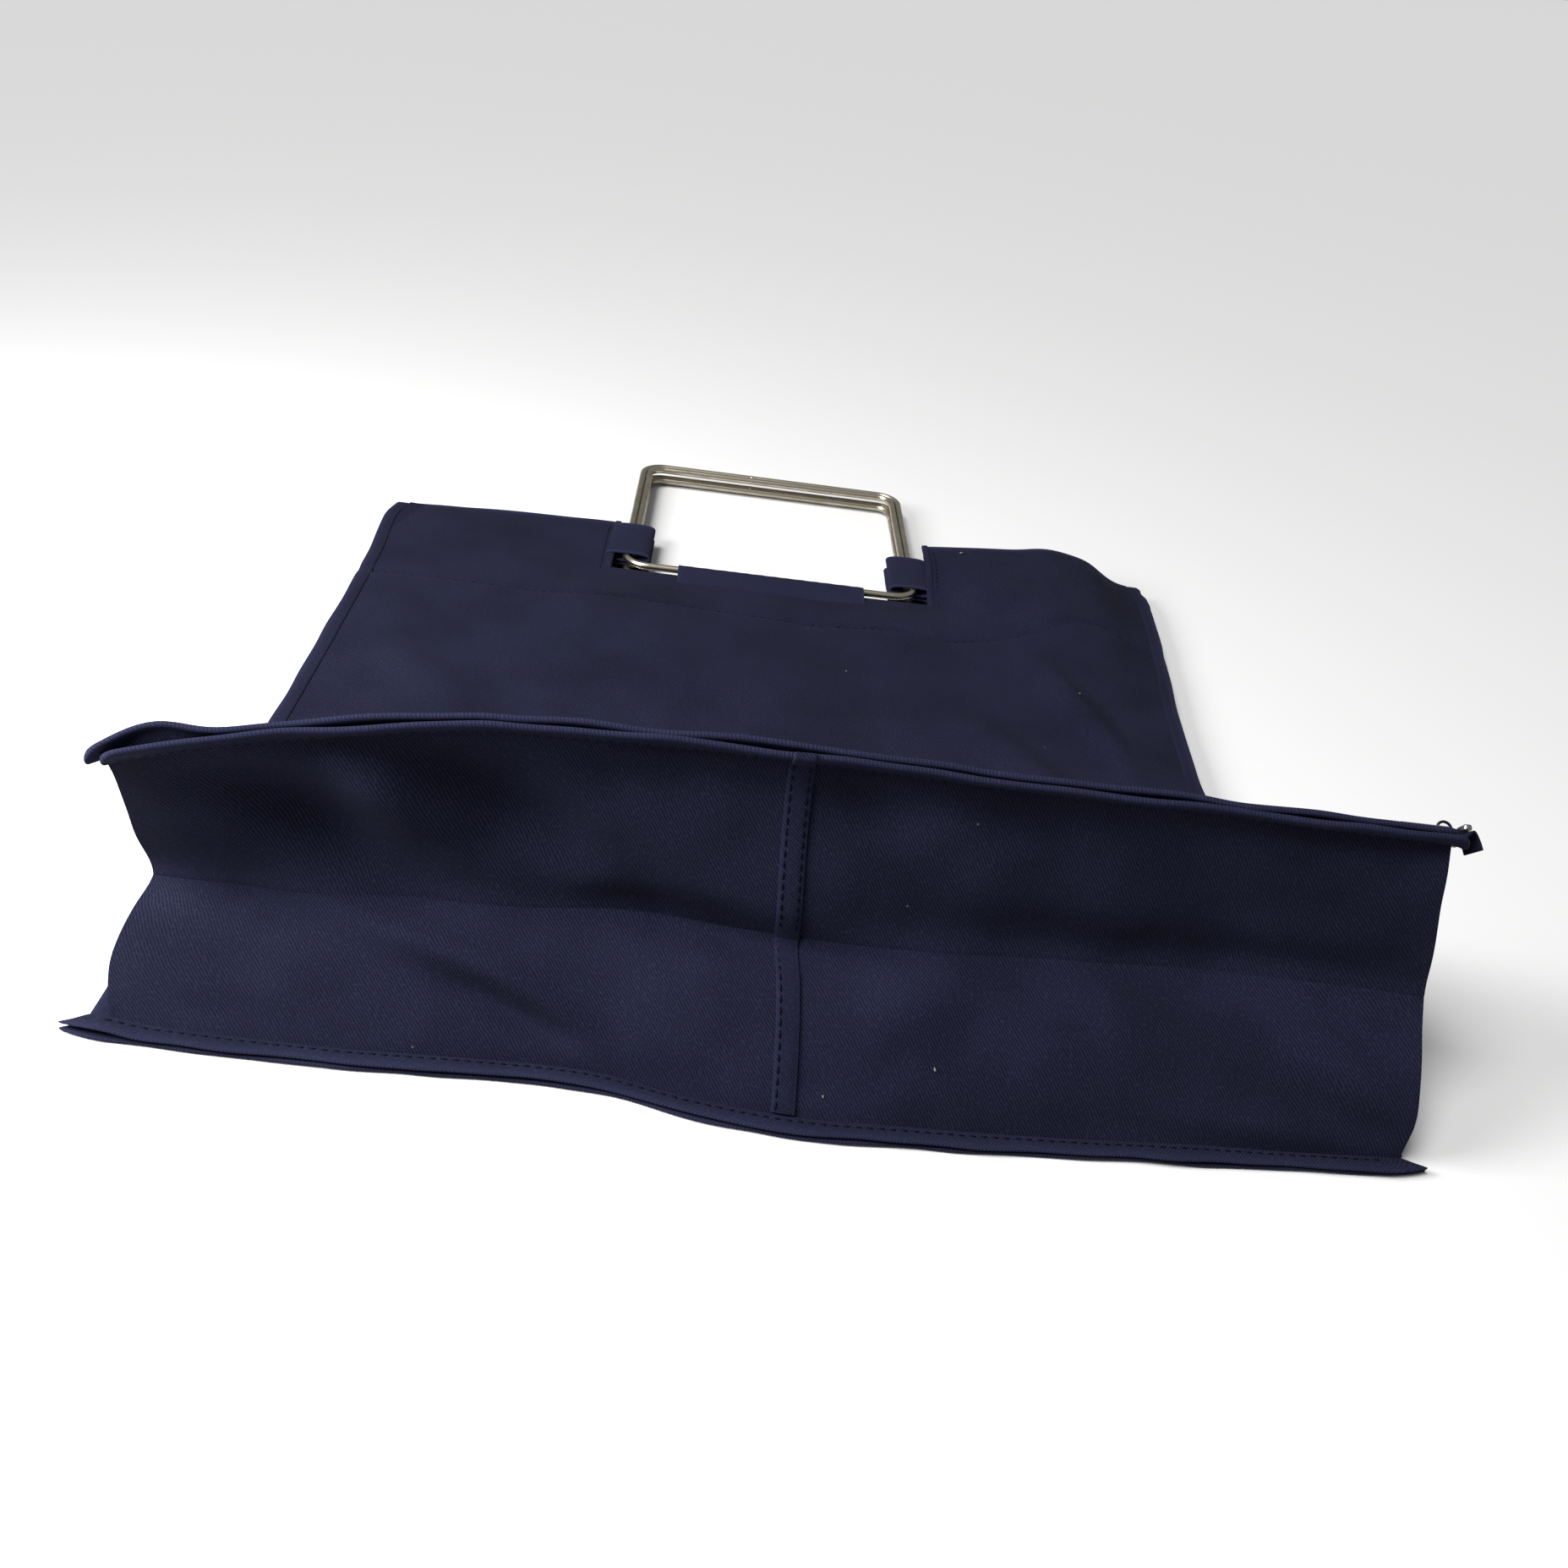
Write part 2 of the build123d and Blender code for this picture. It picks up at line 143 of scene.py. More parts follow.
def add_node(tree, kind, **settings):
    """A node with its settings and plain input values filled in."""
    node = tree.nodes.new(kind)
    for name, value in settings.items():
        if name.startswith("in_"):
            node.inputs[int(name[3:])].default_value = value
        else:
            setattr(node, name, value)
    return node


def new_group(name, inputs, outputs):
    """An empty node group with named sockets, its input node and its output node."""
    group = bpy.data.node_groups.new(name, "ShaderNodeTree")
    for socket, kind, value in inputs:
        made = group.interface.new_socket(socket, in_out="INPUT", socket_type=kind)
        if value is not None:
            made.default_value = value
    for socket, kind in outputs:
        group.interface.new_socket(socket, in_out="OUTPUT", socket_type=kind)
    return group, group.nodes.new("NodeGroupInput"), group.nodes.new("NodeGroupOutput")


def twill_group():
    """Slanting ribs, single threads, slubs, fading and lint, all measured on the flat cloth."""
    group, given, made = new_group(
        "twill weave",
        [
            ("Flat cloth", "NodeSocketVector", None),
            ("Rib pitch", "NodeSocketFloat", rib_pitch),
            ("Thread pitch", "NodeSocketFloat", thread_pitch),
            ("Slant", "NodeSocketFloat", 1.0),
        ],
        [
            ("Rib", "NodeSocketFloat"),
            ("Thread", "NodeSocketFloat"),
            ("Slub", "NodeSocketFloat"),
            ("Fading", "NodeSocketFloat"),
            ("Lint", "NodeSocketFloat"),
        ],
    )
    link = group.links.new
    split = add_node(group, "ShaderNodeSeparateXYZ")
    link(given.outputs["Flat cloth"], split.inputs[0])
    waver = add_node(group, "ShaderNodeTexNoise", noise_dimensions="2D")
    waver.inputs["Scale"].default_value = 160
    waver.inputs["Detail"].default_value = 2
    link(given.outputs["Flat cloth"], waver.inputs["Vector"])
    slanted = add_node(group, "ShaderNodeMath", operation="MULTIPLY_ADD")
    link(split.outputs["Y"], slanted.inputs[0])
    link(given.outputs["Slant"], slanted.inputs[1])
    link(split.outputs["X"], slanted.inputs[2])
    shaken = add_node(group, "ShaderNodeMath", operation="MULTIPLY_ADD", in_1=0.0012)
    link(waver.outputs["Fac"], shaken.inputs[0])
    link(slanted.outputs[0], shaken.inputs[2])

    def wave(source, pitch_socket, turn):
        scaled = add_node(group, "ShaderNodeMath", operation="DIVIDE")
        link(source, scaled.inputs[0])
        link(given.outputs[pitch_socket], scaled.inputs[1])
        angle = add_node(group, "ShaderNodeMath", operation="MULTIPLY", in_1=turn)
        link(scaled.outputs[0], angle.inputs[0])
        sine = add_node(group, "ShaderNodeMath", operation="SINE")
        link(angle.outputs[0], sine.inputs[0])
        half = add_node(group, "ShaderNodeMath", operation="MULTIPLY_ADD", in_1=0.5, in_2=0.5)
        link(sine.outputs[0], half.inputs[0])
        return half.outputs[0]

    link(wave(shaken.outputs[0], "Rib pitch", 1.7 * math.pi), made.inputs["Rib"])
    warp = wave(split.outputs["X"], "Thread pitch", 2 * math.pi)
    weft = wave(split.outputs["Y"], "Thread pitch", 2 * math.pi)
    woven = add_node(group, "ShaderNodeMath", operation="MULTIPLY")
    link(warp, woven.inputs[0])
    link(weft, woven.inputs[1])
    link(woven.outputs[0], made.inputs["Thread"])
    slub = add_node(group, "ShaderNodeTexNoise", noise_dimensions="2D")
    slub.inputs["Scale"].default_value = 900
    slub.inputs["Detail"].default_value = 3
    link(given.outputs["Flat cloth"], slub.inputs["Vector"])
    link(slub.outputs["Fac"], made.inputs["Slub"])
    fading = add_node(group, "ShaderNodeTexNoise", noise_dimensions="2D")
    fading.inputs["Scale"].default_value = 22
    fading.inputs["Detail"].default_value = 4
    link(given.outputs["Flat cloth"], fading.inputs["Vector"])
    link(fading.outputs["Fac"], made.inputs["Fading"])
    fluff = add_node(group, "ShaderNodeTexVoronoi", voronoi_dimensions="2D")
    fluff.inputs["Scale"].default_value = 55
    link(given.outputs["Flat cloth"], fluff.inputs["Vector"])
    speck = add_node(group, "ShaderNodeMath", operation="LESS_THAN", in_1=0.022)
    link(fluff.outputs["Distance"], speck.inputs[0])
    pick = add_node(group, "ShaderNodeSeparateColor")
    link(fluff.outputs["Color"], pick.inputs[0])
    few = add_node(group, "ShaderNodeMath", operation="GREATER_THAN", in_1=0.985)
    link(pick.outputs[0], few.inputs[0])
    lint = add_node(group, "ShaderNodeMath", operation="MULTIPLY")
    link(speck.outputs[0], lint.inputs[0])
    link(few.outputs[0], lint.inputs[1])
    link(lint.outputs[0], made.inputs["Lint"])
    return group


twill_weave = twill_group()


def drill(name, shade, light, slant=0.6, lint=0.35):
    """Dyed cotton drill, with painted shade between its ribs and painted light on top of them."""
    cloth = bpy.data.materials.new(name)
    cloth.use_nodes = True
    tree = cloth.node_tree
    link = tree.links.new
    shader = tree.nodes["Principled BSDF"]
    shader.inputs["Specular IOR Level"].default_value = 0.05
    shader.inputs["Sheen Weight"].default_value = 0.008
    shader.inputs["Sheen Roughness"].default_value = 0.55
    shader.inputs["Sheen Tint"].default_value = (0.62, 0.64, 0.8, 1)
    flat = add_node(tree, "ShaderNodeUVMap", uv_map="UVMap")
    weave = add_node(tree, "ShaderNodeGroup", node_tree=twill_weave)
    weave.inputs["Rib pitch"].default_value = rib_pitch
    weave.inputs["Thread pitch"].default_value = thread_pitch
    weave.inputs["Slant"].default_value = slant
    link(flat.outputs["UV"], weave.inputs["Flat cloth"])

    def mixed(below, above_colour, share):
        mix = add_node(tree, "ShaderNodeMix", data_type="RGBA")
        if isinstance(below, tuple):
            mix.inputs["A"].default_value = below
        else:
            link(below, mix.inputs["A"])
        mix.inputs["B"].default_value = above_colour
        link(share, mix.inputs["Factor"])
        return mix.outputs["Result"]

    def share_of(source, low, high, least, most):
        spread = add_node(tree, "ShaderNodeMapRange")
        spread.inputs["From Min"].default_value = low
        spread.inputs["From Max"].default_value = high
        spread.inputs["To Min"].default_value = least
        spread.inputs["To Max"].default_value = most
        link(source, spread.inputs["Value"])
        return spread.outputs["Result"]

    def times(colour, amount):
        return (*(amount * c for c in colour), 1)

    wear_and_sheen = add_node(tree, "ShaderNodeAttribute", attribute_name="wear_and_sheen")
    rib_share = share_of(weave.outputs["Rib"], 0, 1, 0.14, 0.82)
    slub_share = share_of(weave.outputs["Slub"], 0.5, 0.8, 0, 0.5)
    fading_share = share_of(weave.outputs["Fading"], 0.6, 0.25, 0, 0.35)
    wear_and_sheen_share = share_of(wear_and_sheen.outputs["Fac"], 0, 1, 0, 0.6)
    lint_share = share_of(weave.outputs["Lint"], 0, 1, 0, lint)
    # The ribs are painted into the colour: the shade colour in the grooves as painted shade, the
    # light colour on their tops as painted light.
    ribbed = mixed(times(shade, 1), times(light, 1), rib_share)
    slubbed = mixed(ribbed, times(light, 1.45), slub_share)
    faded = mixed(slubbed, times(shade, 0.5), fading_share)
    # Paler where the per-point attribute is high: real wear at rubbed edges, and on the seam ridges
    # a painted sheen as well.
    with_wear_and_sheen = mixed(faded, times(light, 2.2), wear_and_sheen_share)
    dusted = mixed(with_wear_and_sheen, lint_grey, lint_share)
    link(dusted, shader.inputs["Base Color"])
    link(share_of(weave.outputs["Fading"], 0.2, 0.8, 0.95, 0.8), shader.inputs["Roughness"])
    height = add_node(tree, "ShaderNodeMath", operation="MULTIPLY_ADD", in_1=0.45)
    link(weave.outputs["Thread"], height.inputs[0])
    link(weave.outputs["Rib"], height.inputs[2])
    bump = add_node(tree, "ShaderNodeBump")
    bump.inputs["Strength"].default_value = 0.55
    bump.inputs["Distance"].default_value = 0.00018
    link(height.outputs[0], bump.inputs["Height"])
    link(bump.outputs["Normal"], shader.inputs["Normal"])
    return cloth


# navy_shade is the painted shade between the ribs and navy_light the painted light on their tops;
# both also tint the slubs, fading and wear.
navy_shade = (0.0018, 0.0019, 0.0052)
navy_light = (0.0100, 0.0108, 0.0262)
navy_drill = drill("navy drill", navy_shade, navy_light)

# ---------------------------------------------------------------------------------------------
# Back panel: the cloth that lies on the table, cut square with a notch for the handles.
# Its bottom edge is pulled forward by the seam, and the cloth ripples a little between the seams.
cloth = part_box("back_panel")[1].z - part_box("back_panel")[0].z
half_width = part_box("back_panel")[1].x
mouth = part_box("back_panel")[1].y
loop_clearance = 0.0004
notch_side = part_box("front_post_loop_right")[1].x + loop_clearance
bar = Vector(joints["front_handle_swing"]["pos_m"])
handle_rise = 0.007
notch_edge = bar.y - handle_rise
lower_hinge = Vector(joints["lower_gusset_fold"]["pos_m"])


def through(points, place):
    """A smooth curve through (place, amount) points, read at one place."""
    if place <= points[0][0]:
        return points[0][1]
    if place >= points[-1][0]:
        return points[-1][1]
    last = len(points) - 1
    i = max(k for k in range(last) if points[k][0] <= place)

    def slope(k):
        before, after = points[max(k - 1, 0)], points[min(k + 1, last)]
        return (after[1] - before[1]) / (after[0] - before[0])

    (start, low), (end, high) = points[i], points[i + 1]
    span = end - start
    t = (place - start) / span
    return (
        low * (2 * t**3 - 3 * t**2 + 1)
        + high * (3 * t**2 - 2 * t**3)
        + slope(i) * span * (t**3 - 2 * t**2 + t)
        + slope(i + 1) * span * (t**3 - t**2)
    )


def eased(value, start, end):
    """0 before start, 1 after end and a smooth rise between them."""
    t = min(max((value - start) / (end - start), 0), 1)
    return t * t * (3 - 2 * t)


def stations(*stops):
    """Lines across a sheet, from (place, number of spaces up to the next place) pairs."""
    lines = []
    for (start, spaces), (end, _) in zip(stops, stops[1:]):
        lines += [start + (end - start) * k / spaces for k in range(spaces)]
    return lines + [stops[-1][0]]


def ripple(a, b, size, height, seed):
    """Gentle unevenness of soft cloth."""
    return height * noise.noise(Vector((a / size, b / size, seed)))


def cloth_sheet(name, across, along, place, thickness, paint, wear_and_sheen=None, gap=None, rolled=False):
    """A sheet of cloth with its flat size as its UV map, laid where place(across, along) says.

    Its edges are cut square, or softly rounded when it is rolled.
    """
    columns, rows = len(across) - 1, len(along) - 1
    bpy.ops.object.select_all(action="DESELECT")
    bpy.ops.mesh.primitive_grid_add(x_subdivisions=columns, y_subdivisions=rows, size=2)
    sheet = bpy.context.object
    sheet.name = name
    flat = [
        (across[round((v.co.x + 1) / 2 * columns)], along[round((v.co.y + 1) / 2 * rows)])
        for v in sheet.data.vertices
    ]
    for loop in sheet.data.loops:
        sheet.data.uv_layers["UVMap"].data[loop.index].uv = flat[loop.vertex_index]
    for vertex, (a, b) in zip(sheet.data.vertices, flat):
        vertex.co = place(a, b)
    # Per-point wear, which on the seam ridges also carries painted sheen.
    wear_and_sheen_layer = sheet.data.attributes.new("wear_and_sheen", "FLOAT", "POINT")
    wear_and_sheen_layer.data.foreach_set("value", [wear_and_sheen(a, b) if wear_and_sheen else 0.0 for a, b in flat])
    if gap:
        for face in sheet.data.polygons:
            middle = sum((Vector(flat[k]) for k in face.vertices), Vector((0, 0))) / 4
            face.select = gap(*middle)
        for thing in (*sheet.data.edges, *sheet.data.vertices):
            thing.select = False
        bpy.ops.object.mode_set(mode="EDIT")
        bpy.context.tool_settings.mesh_select_mode = (False, False, True)
        bpy.ops.mesh.delete(type="FACE")
        bpy.ops.object.mode_set(mode="OBJECT")
    for step in ("wall", "smooth") if rolled else ("smooth", "wall"):
        if step == "wall":
            wall = sheet.modifiers.new("wall", "SOLIDIFY")
            wall.thickness = thickness
            wall.offset = 0
        else:
            smooth = sheet.modifiers.new("smooth", "SUBSURF")
            smooth.boundary_smooth = "PRESERVE_CORNERS"
            smooth.levels = smooth.render_levels = 1
        bpy.ops.object.modifier_apply(modifier=step)
    if rolled:
        bpy.ops.object.shade_smooth()
    else:
        bpy.ops.object.shade_smooth_by_angle(angle=math.radians(50))
    sheet.data.materials.append(paint)
    return sheet


# How far each side is drawn in, from the bottom edge to the mouth, as the open bottom pulls on it.
drawn_in = {
    1: [
        (-0.195, 0.0),
        (-0.085, 0.009),
        (-0.013, 0.0155),
        (0.018, 0.0135),
        (0.062, 0.0095),
        (0.118, 0.0020),
        (0.174, -0.0028),
        (0.195, -0.0010),
    ],
    -1: [
        (-0.195, 0.0),
        (-0.060, 0.005),
        (0.068, 0.0055),
        (0.131, 0.0040),
        (0.177, 0.0006),
        (0.195, 0.0036),
    ],
}


def narrowed(a, y):
    """The place across the bag after its sides are drawn in."""
    sign = 1 if a > 0 else -1
    return a - sign * through(drawn_in[sign], y) * eased(abs(a), 0.06, half_width)


# How far the bottom seam is pulled out in front of its straight line, along the bag's width.
seam_bow = [
    (-0.210, -0.0055),
    (-0.140, -0.0024),
    (-0.055, -0.0022),
    (-0.020, 0.0055),
    (0.012, 0.0092),
    (0.040, 0.0092),
    (0.110, 0.0068),
    (0.210, 0.0026),
]
back_middle = cloth / 2 + 0.0002
seam_lift = 0.0009


def in_notch(a, b):
    """Whether a place on a panel is inside the notch cut for the handles."""
    return abs(a) < notch_side and b > notch_edge


def back_place(a, b):
    """The back panel's middle surface: a across the bag, b from the bottom to the mouth."""
    near_seam = 1 - eased(b, lower_hinge.y, lower_hinge.y + 0.07)
    lift = 0.0006 + ripple(a, b, 0.05, 0.0006, 3.1)
    lift *= eased(half_width - abs(a), 0, 0.03) * eased(b, lower_hinge.y, lower_hinge.y + 0.03)
    pulled = b - near_seam * through(seam_bow, a)
    return Vector((narrowed(a, b), pulled, back_middle + seam_lift * near_seam + lift))


back_panel = cloth_sheet(
    "back_panel_cloth",
    stations((-half_width, 14), (-notch_side, 20), (notch_side, 14), (half_width, 0)),
    stations((lower_hinge.y, 30), (notch_edge, 7), (mouth, 0)),
    back_place,
    cloth,
    navy_drill,
    wear_and_sheen=lambda a, b: 0.7 * eased(b, mouth - 0.004, mouth),
    gap=in_notch,
)
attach(back_panel, "bag")
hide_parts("back_panel")

# ---------------------------------------------------------------------------------------------
# Front panel: the same cloth on top. It lies flat from the mouth to a soft fold near the bottom,
# puffs up over the folded gusset at the right-hand shoulder, and bends up at the fold.
fold = Vector(joints["bottom_opening"]["pos_m"])
up_lift = -Vector(joints["zip_pull_swing"]["axis"]).normalized()
out_lift = Vector((0, up_lift.z, -up_lift.y))
fold_reach = 0.018
lift_joint = 0.026

# Height of the puffed shoulder along the mouth.
shoulder = [
    (0.020, 0.0),
    (0.083, 0.0062),
    (0.108, 0.0090),
    (0.131, 0.0118),
    (0.147, 0.0152),
    (0.162, 0.0140),
    (0.177, 0.0100),
    (0.196, 0.0008),
]

# The facing's stitching wavers across the front, where the cloth was eased as it was sewn.
facing_stitch = [
    (-0.196, 0.108),
    (-0.120, 0.104),
    (-0.040, 0.1055),
    (0.030, 0.1045),
    (0.062, 0.1055),
    (0.082, 0.0985),
    (0.105, 0.1020),
    (0.135, 0.1130),
    (0.165, 0.1250),
    (0.180, 0.1200),
    (0.196, 0.1140),
]

# Soft creases in the lying part: where each starts and ends, its width and its height.
soft_creases = [
    ((0.118, 0.115), (0.182, -0.030), 0.008, 0.0052),
    ((0.080, 0.035), (0.150, -0.050), 0.012, 0.0046),
    ((-0.190, 0.050), (-0.120, -0.015), 0.010, 0.0032),
    ((-0.100, 0.120), (-0.020, 0.020), 0.020, 0.0036),
    ((0.105, 0.175), (0.160, 0.100), 0.012, 0.0034),
]


def crease_ridge(a, b, start, end, width, height):
    """A soft ridge in the cloth that fades in and out between two points."""
    start, end = Vector(start), Vector(end)
    line = end - start
    t = (Vector((a, b)) - start).dot(line) / line.length_squared
    away = (Vector((a, b)) - start - line * t).length
    fade = math.sin(math.pi * min(max(t, 0), 1)) ** 1.5
    return height * fade * math.exp(-((away / width) ** 2))


def front_rise(a, b):
    """How far the lying part of the front panel stands above its flat place."""
    rise = through(shoulder, a) * eased(b, 0.05, mouth - 0.01)
    for start, end, width, height in soft_creases:
        rise += crease_ridge(a, b, start, end, width, height)
    rise += 0.0012 + ripple(a, b, 0.06, 0.0022, 7.7) + ripple(a, b, 0.022, 0.0005, 2.3)
    rise *= eased(half_width - abs(a), -0.004, 0.028)
    from_stitch = b - through(facing_stitch, a)
    rise -= 0.0012 * math.exp(-((from_stitch / 0.0018) ** 2))
    puckers = ripple(a, from_stitch * 0.35, 0.006, 0.0008, 1.2)
    rise += puckers * math.exp(-((from_stitch / 0.010) ** 2))
    low_corner = (1 - eased(a, -half_width, -0.13)) * eased(b, 0.08, mouth)
    by_notch = math.exp(-(((b - notch_edge) / 0.020) ** 2)) * (1 - eased(abs(a), notch_side, 0.11))
    rise *= 1 - 0.92 * by_notch
    return rise * eased(b, fold.y, fold.y + 0.06) - 0.0030 * low_corner


def front_place(a, b, out=0.0):
    """The front cloth over the fold: b is positive on the lying part, negative up the lift."""
    if abs(b) < fold_reach:
        t = (fold_reach - b) / (2 * fold_reach)
        point = Vector((0, fold_reach, 0)) * (1 - t) ** 2 + up_lift * fold_reach * t**2
        along = Vector((0, -1, 0)).lerp(up_lift, t)
        facing = Vector((0, along.z, -along.y)).normalized()
        point += facing * out
    elif b > 0:
        point = Vector((0, b, out + front_rise(a, fold.y + b)))
    else:
        point = up_lift * -b + out_lift * out
    return Vector((narrowed(a, fold.y + b), 0, 0)) + fold + point


front_panel = cloth_sheet(
    "front_panel_cloth",
    stations((-half_width, 24), (-notch_side, 30), (notch_side, 24), (half_width, 0)),
    stations(
        (-lift_joint, 2),
        (-fold_reach, 8),
        (fold_reach, 30),
        (0.090 - fold.y, 26),
        (0.130 - fold.y, 3),
        (notch_edge - fold.y, 12),
        (mouth - fold.y, 0),
    ),
    front_place,
    cloth,
    navy_drill,
    wear_and_sheen=lambda a, b: 0.7 * eased(b, mouth - fold.y - 0.004, mouth - fold.y),
    gap=lambda a, b: in_notch(a, b + fold.y),
)
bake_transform(front_panel)
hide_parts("front_panel")

# ---------------------------------------------------------------------------------------------
# Lifting part: the last of the front panel, which is pulled up to open the bottom.
# It hangs down at its left-hand corner, and falls flat again as the bottom closes.
upper_hinge = Vector(joints["upper_gusset_fold"]["pos_m"])
lift_length = (upper_hinge - fold).dot(up_lift) + cloth / 2
corner_hang = 0.0215
hang_start = -0.090
hang_reach = 0.114
corner_shortening = 0.004


def hang(a):
    """0 up to where the left-hand corner starts to hang, and 1 at the corner."""
    return (max(0, hang_start - a) / hang_reach) ** 1.4


def lift_place(a, b, out=0.0):
    """The lifting cloth: b from the fold up to the seam, out from its middle surface."""
    share = max(b, 0) / lift_length
    proud = 0.0022 * math.exp(-(((a + 0.02) / 0.075) ** 2)) - 0.0012 * eased(a, 0.11, 0.2)
    sag = (proud - corner_hang * hang(a)) * share**1.7
    loose = ripple(a, b, 0.045, 0.0016, 5.5) * math.sin(math.pi * min(share, 1))
    short = corner_shortening * hang(a) * share**2
    past_joint = eased(b, lift_joint, lift_joint + 0.03)
    across = Vector((narrowed(a, fold.y - b), 0, 0))
    along = up_lift * (b - short * past_joint)
    return across + fold + along + out_lift * ((sag + loose) * past_joint + out)


front_lift = cloth_sheet(
    "front_panel_lift_cloth",
    stations((-half_width, 36), (half_width, 0)),
    stations((lift_joint, 14), (lift_length, 0)),
    lift_place,
    cloth,
    navy_drill,
)
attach(front_lift, "front_lift")
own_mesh(front_lift)
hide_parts("front_panel_lift")

# ---------------------------------------------------------------------------------------------
# Facings: a second layer of drill turned in round the mouth and stitched down inside each panel.
# Its stitching shows outside as a wavering line of dashes across the front.
facing_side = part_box("front_facing")[1].x
facing_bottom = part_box("front_facing")[0].y
facing_gap = 0.00094
# Painted rib shade and painted rib light of the facing, a little darker than the panels.
facing_shade = (0.0016, 0.0017, 0.0048)
facing_light = (0.0074, 0.0080, 0.0200)
facing_drill = drill("facing drill", facing_shade, facing_light, slant=-0.6)


def front_facing_place(a, b):
    """The front facing, close under the front panel."""
    return front_place(a, b - fold.y, out=-facing_gap)


def back_facing_place(a, b):
    """The back facing, close above the back panel."""
    return back_place(a, b) + Vector((0, 0, facing_gap))


for side, place in (("back", back_facing_place), ("front", front_facing_place)):
    facing = cloth_sheet(
        f"{side}_facing_cloth",
        stations((-facing_side, 6), (-notch_side, 20), (notch_side, 6), (facing_side, 0)),
        stations((facing_bottom, 8), (notch_edge, 12), (mouth - 0.0008, 0)),
        place,
        cloth,
        facing_drill,
        gap=in_notch,
    )
    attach(facing, "bag")
    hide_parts(f"{side}_facing")

# ---------------------------------------------------------------------------------------------
# Side gussets: the bottom gusset's cloth carries on up each side, folded flat between the panels.
# On the right it is half open at the mouth, which holds the shoulder up.
side_corner, side_far_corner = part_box("side_gusset_right")
side_low = side_corner.z
side_high = side_far_corner.z
side_crease = side_corner.x
side_start = side_corner.y
side_outer = half_width - cloth


def side_place(sign):
    """The folded side: a is -1 at the back seam, 0 at the crease and 1 at the front seam."""

    def place(a, b):
        share = abs(a)
        bend = 0.25
        share = share if share > bend else (share**2 + bend**2) / (2 * bend)
        x = side_crease + (side_outer - side_crease) * share
        rise = front_rise(sign * x, b)
        z = (side_low + side_high) / 2 + math.copysign(1, a) * share * (side_high - side_low) / 2
        follow = 0.5 + 0.42 * a
        return Vector((narrowed(sign * x, b), b, z + max(rise, 0) * follow))

    return place


for sign, side in ((1, "right"), (-1, "left")):
    folded = cloth_sheet(
        f"side_gusset_{side}_cloth",
        stations((-1, 10), (1, 0)),
        stations((side_start, 40), (mouth - 0.001, 0)),
        side_place(sign),
        cloth,
        navy_drill,
    )
    for loop in folded.data.loops:
        uv = folded.data.uv_layers["UVMap"].data[loop.index].uv
        uv.x *= half_width - side_crease
    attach(folded, "bag")
    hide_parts(f"side_gusset_{side}")

# ---------------------------------------------------------------------------------------------
# Bottom gusset: one width of drill in a left and a right piece, pushed in along its middle crease.
# Each half hinges at its own seam, and lies flat between the panels when the bottom is closed.
half_gusset = 0.056
seam_offset = 0.0062     # the centre seam stands this far to the right at the bottom
crease_depth = [
    (-0.200, 0.030),
    (-0.157, 0.022),
    (-0.090, 0.0165),
    (0.000, 0.0165),
    (0.075, 0.0155),
    (0.150, 0.0130),
    (0.180, 0.0075),
    (0.200, 0.0022),
]
crease_share = [(-0.200, 0.47), (-0.090, 0.44), (0.0, 0.475), (0.160, 0.50), (0.200, 0.50)]
crease_bend = 0.22
gusset_dents = [
    # across, share of the half, length, width, turn in degrees, depth (inward is negative)
    (-0.118, 0.60, 0.026, 0.008, -38, 0.0062),
    (-0.142, 0.44, 0.030, 0.010, -38, -0.0085),
    (-0.078, 0.50, 0.028, 0.011, -30, -0.0070),
    (-0.024, -0.02, 0.044, 0.0070, -5, -0.0100),
    (-0.058, 0.14, 0.012, 0.006, -10, 0.0022),
    (-0.060, 0.80, 0.040, 0.012, 4, -0.0030),
    (0.024, 0.76, 0.014, 0.008, -16, -0.0036),
    (0.060, 0.62, 0.030, 0.012, -30, 0.0030),
    (0.118, 0.40, 0.056, 0.018, -6, -0.0040),
    (0.130, 0.04, 0.080, 0.010, -1, -0.0060),
    (0.110, 0.42, 0.085, 0.016, -2, 0.0026),
    (0.030, 0.90, 0.050, 0.009, -4, -0.0024),
    (-0.104, -0.36, 0.044, 0.0070, -24, 0.0076),
    (-0.086, -0.60, 0.034, 0.0062, -28, -0.0088),
    (-0.060, -0.84, 0.024, 0.006, -40, 0.0034),
    (-0.160, -0.30, 0.030, 0.012, -20, 0.0030),
    (-0.030, -0.45, 0.030, 0.014, 60, 0.0026),
    (0.036, -0.30, 0.022, 0.012, 24, 0.0028),
    (0.110, -0.50, 0.060, 0.018, -4, 0.0034),
    (0.168, -0.72, 0.030, 0.009, -24, -0.0040),
    (0.184, -0.60, 0.022, 0.006, -40, 0.0026),
    (0.150, -0.90, 0.026, 0.005, -8, 0.0020),
]


def gusset_dent(a, share):
    """Creases and dents left in the gusset by folding and by the hand that opened it."""
    total = 0.0
    for centre, middle, length, width, turn, depth in gusset_dents:
        x, y = a - centre, (share - middle) * half_gusset
        c, s = math.cos(math.radians(turn)), math.sin(math.radians(turn))
        lengthwise = (x * c + y * s) / length
        crosswise = (y * c - x * s) / width
        total += depth * math.exp(-(lengthwise**2) - crosswise**2)
    return total


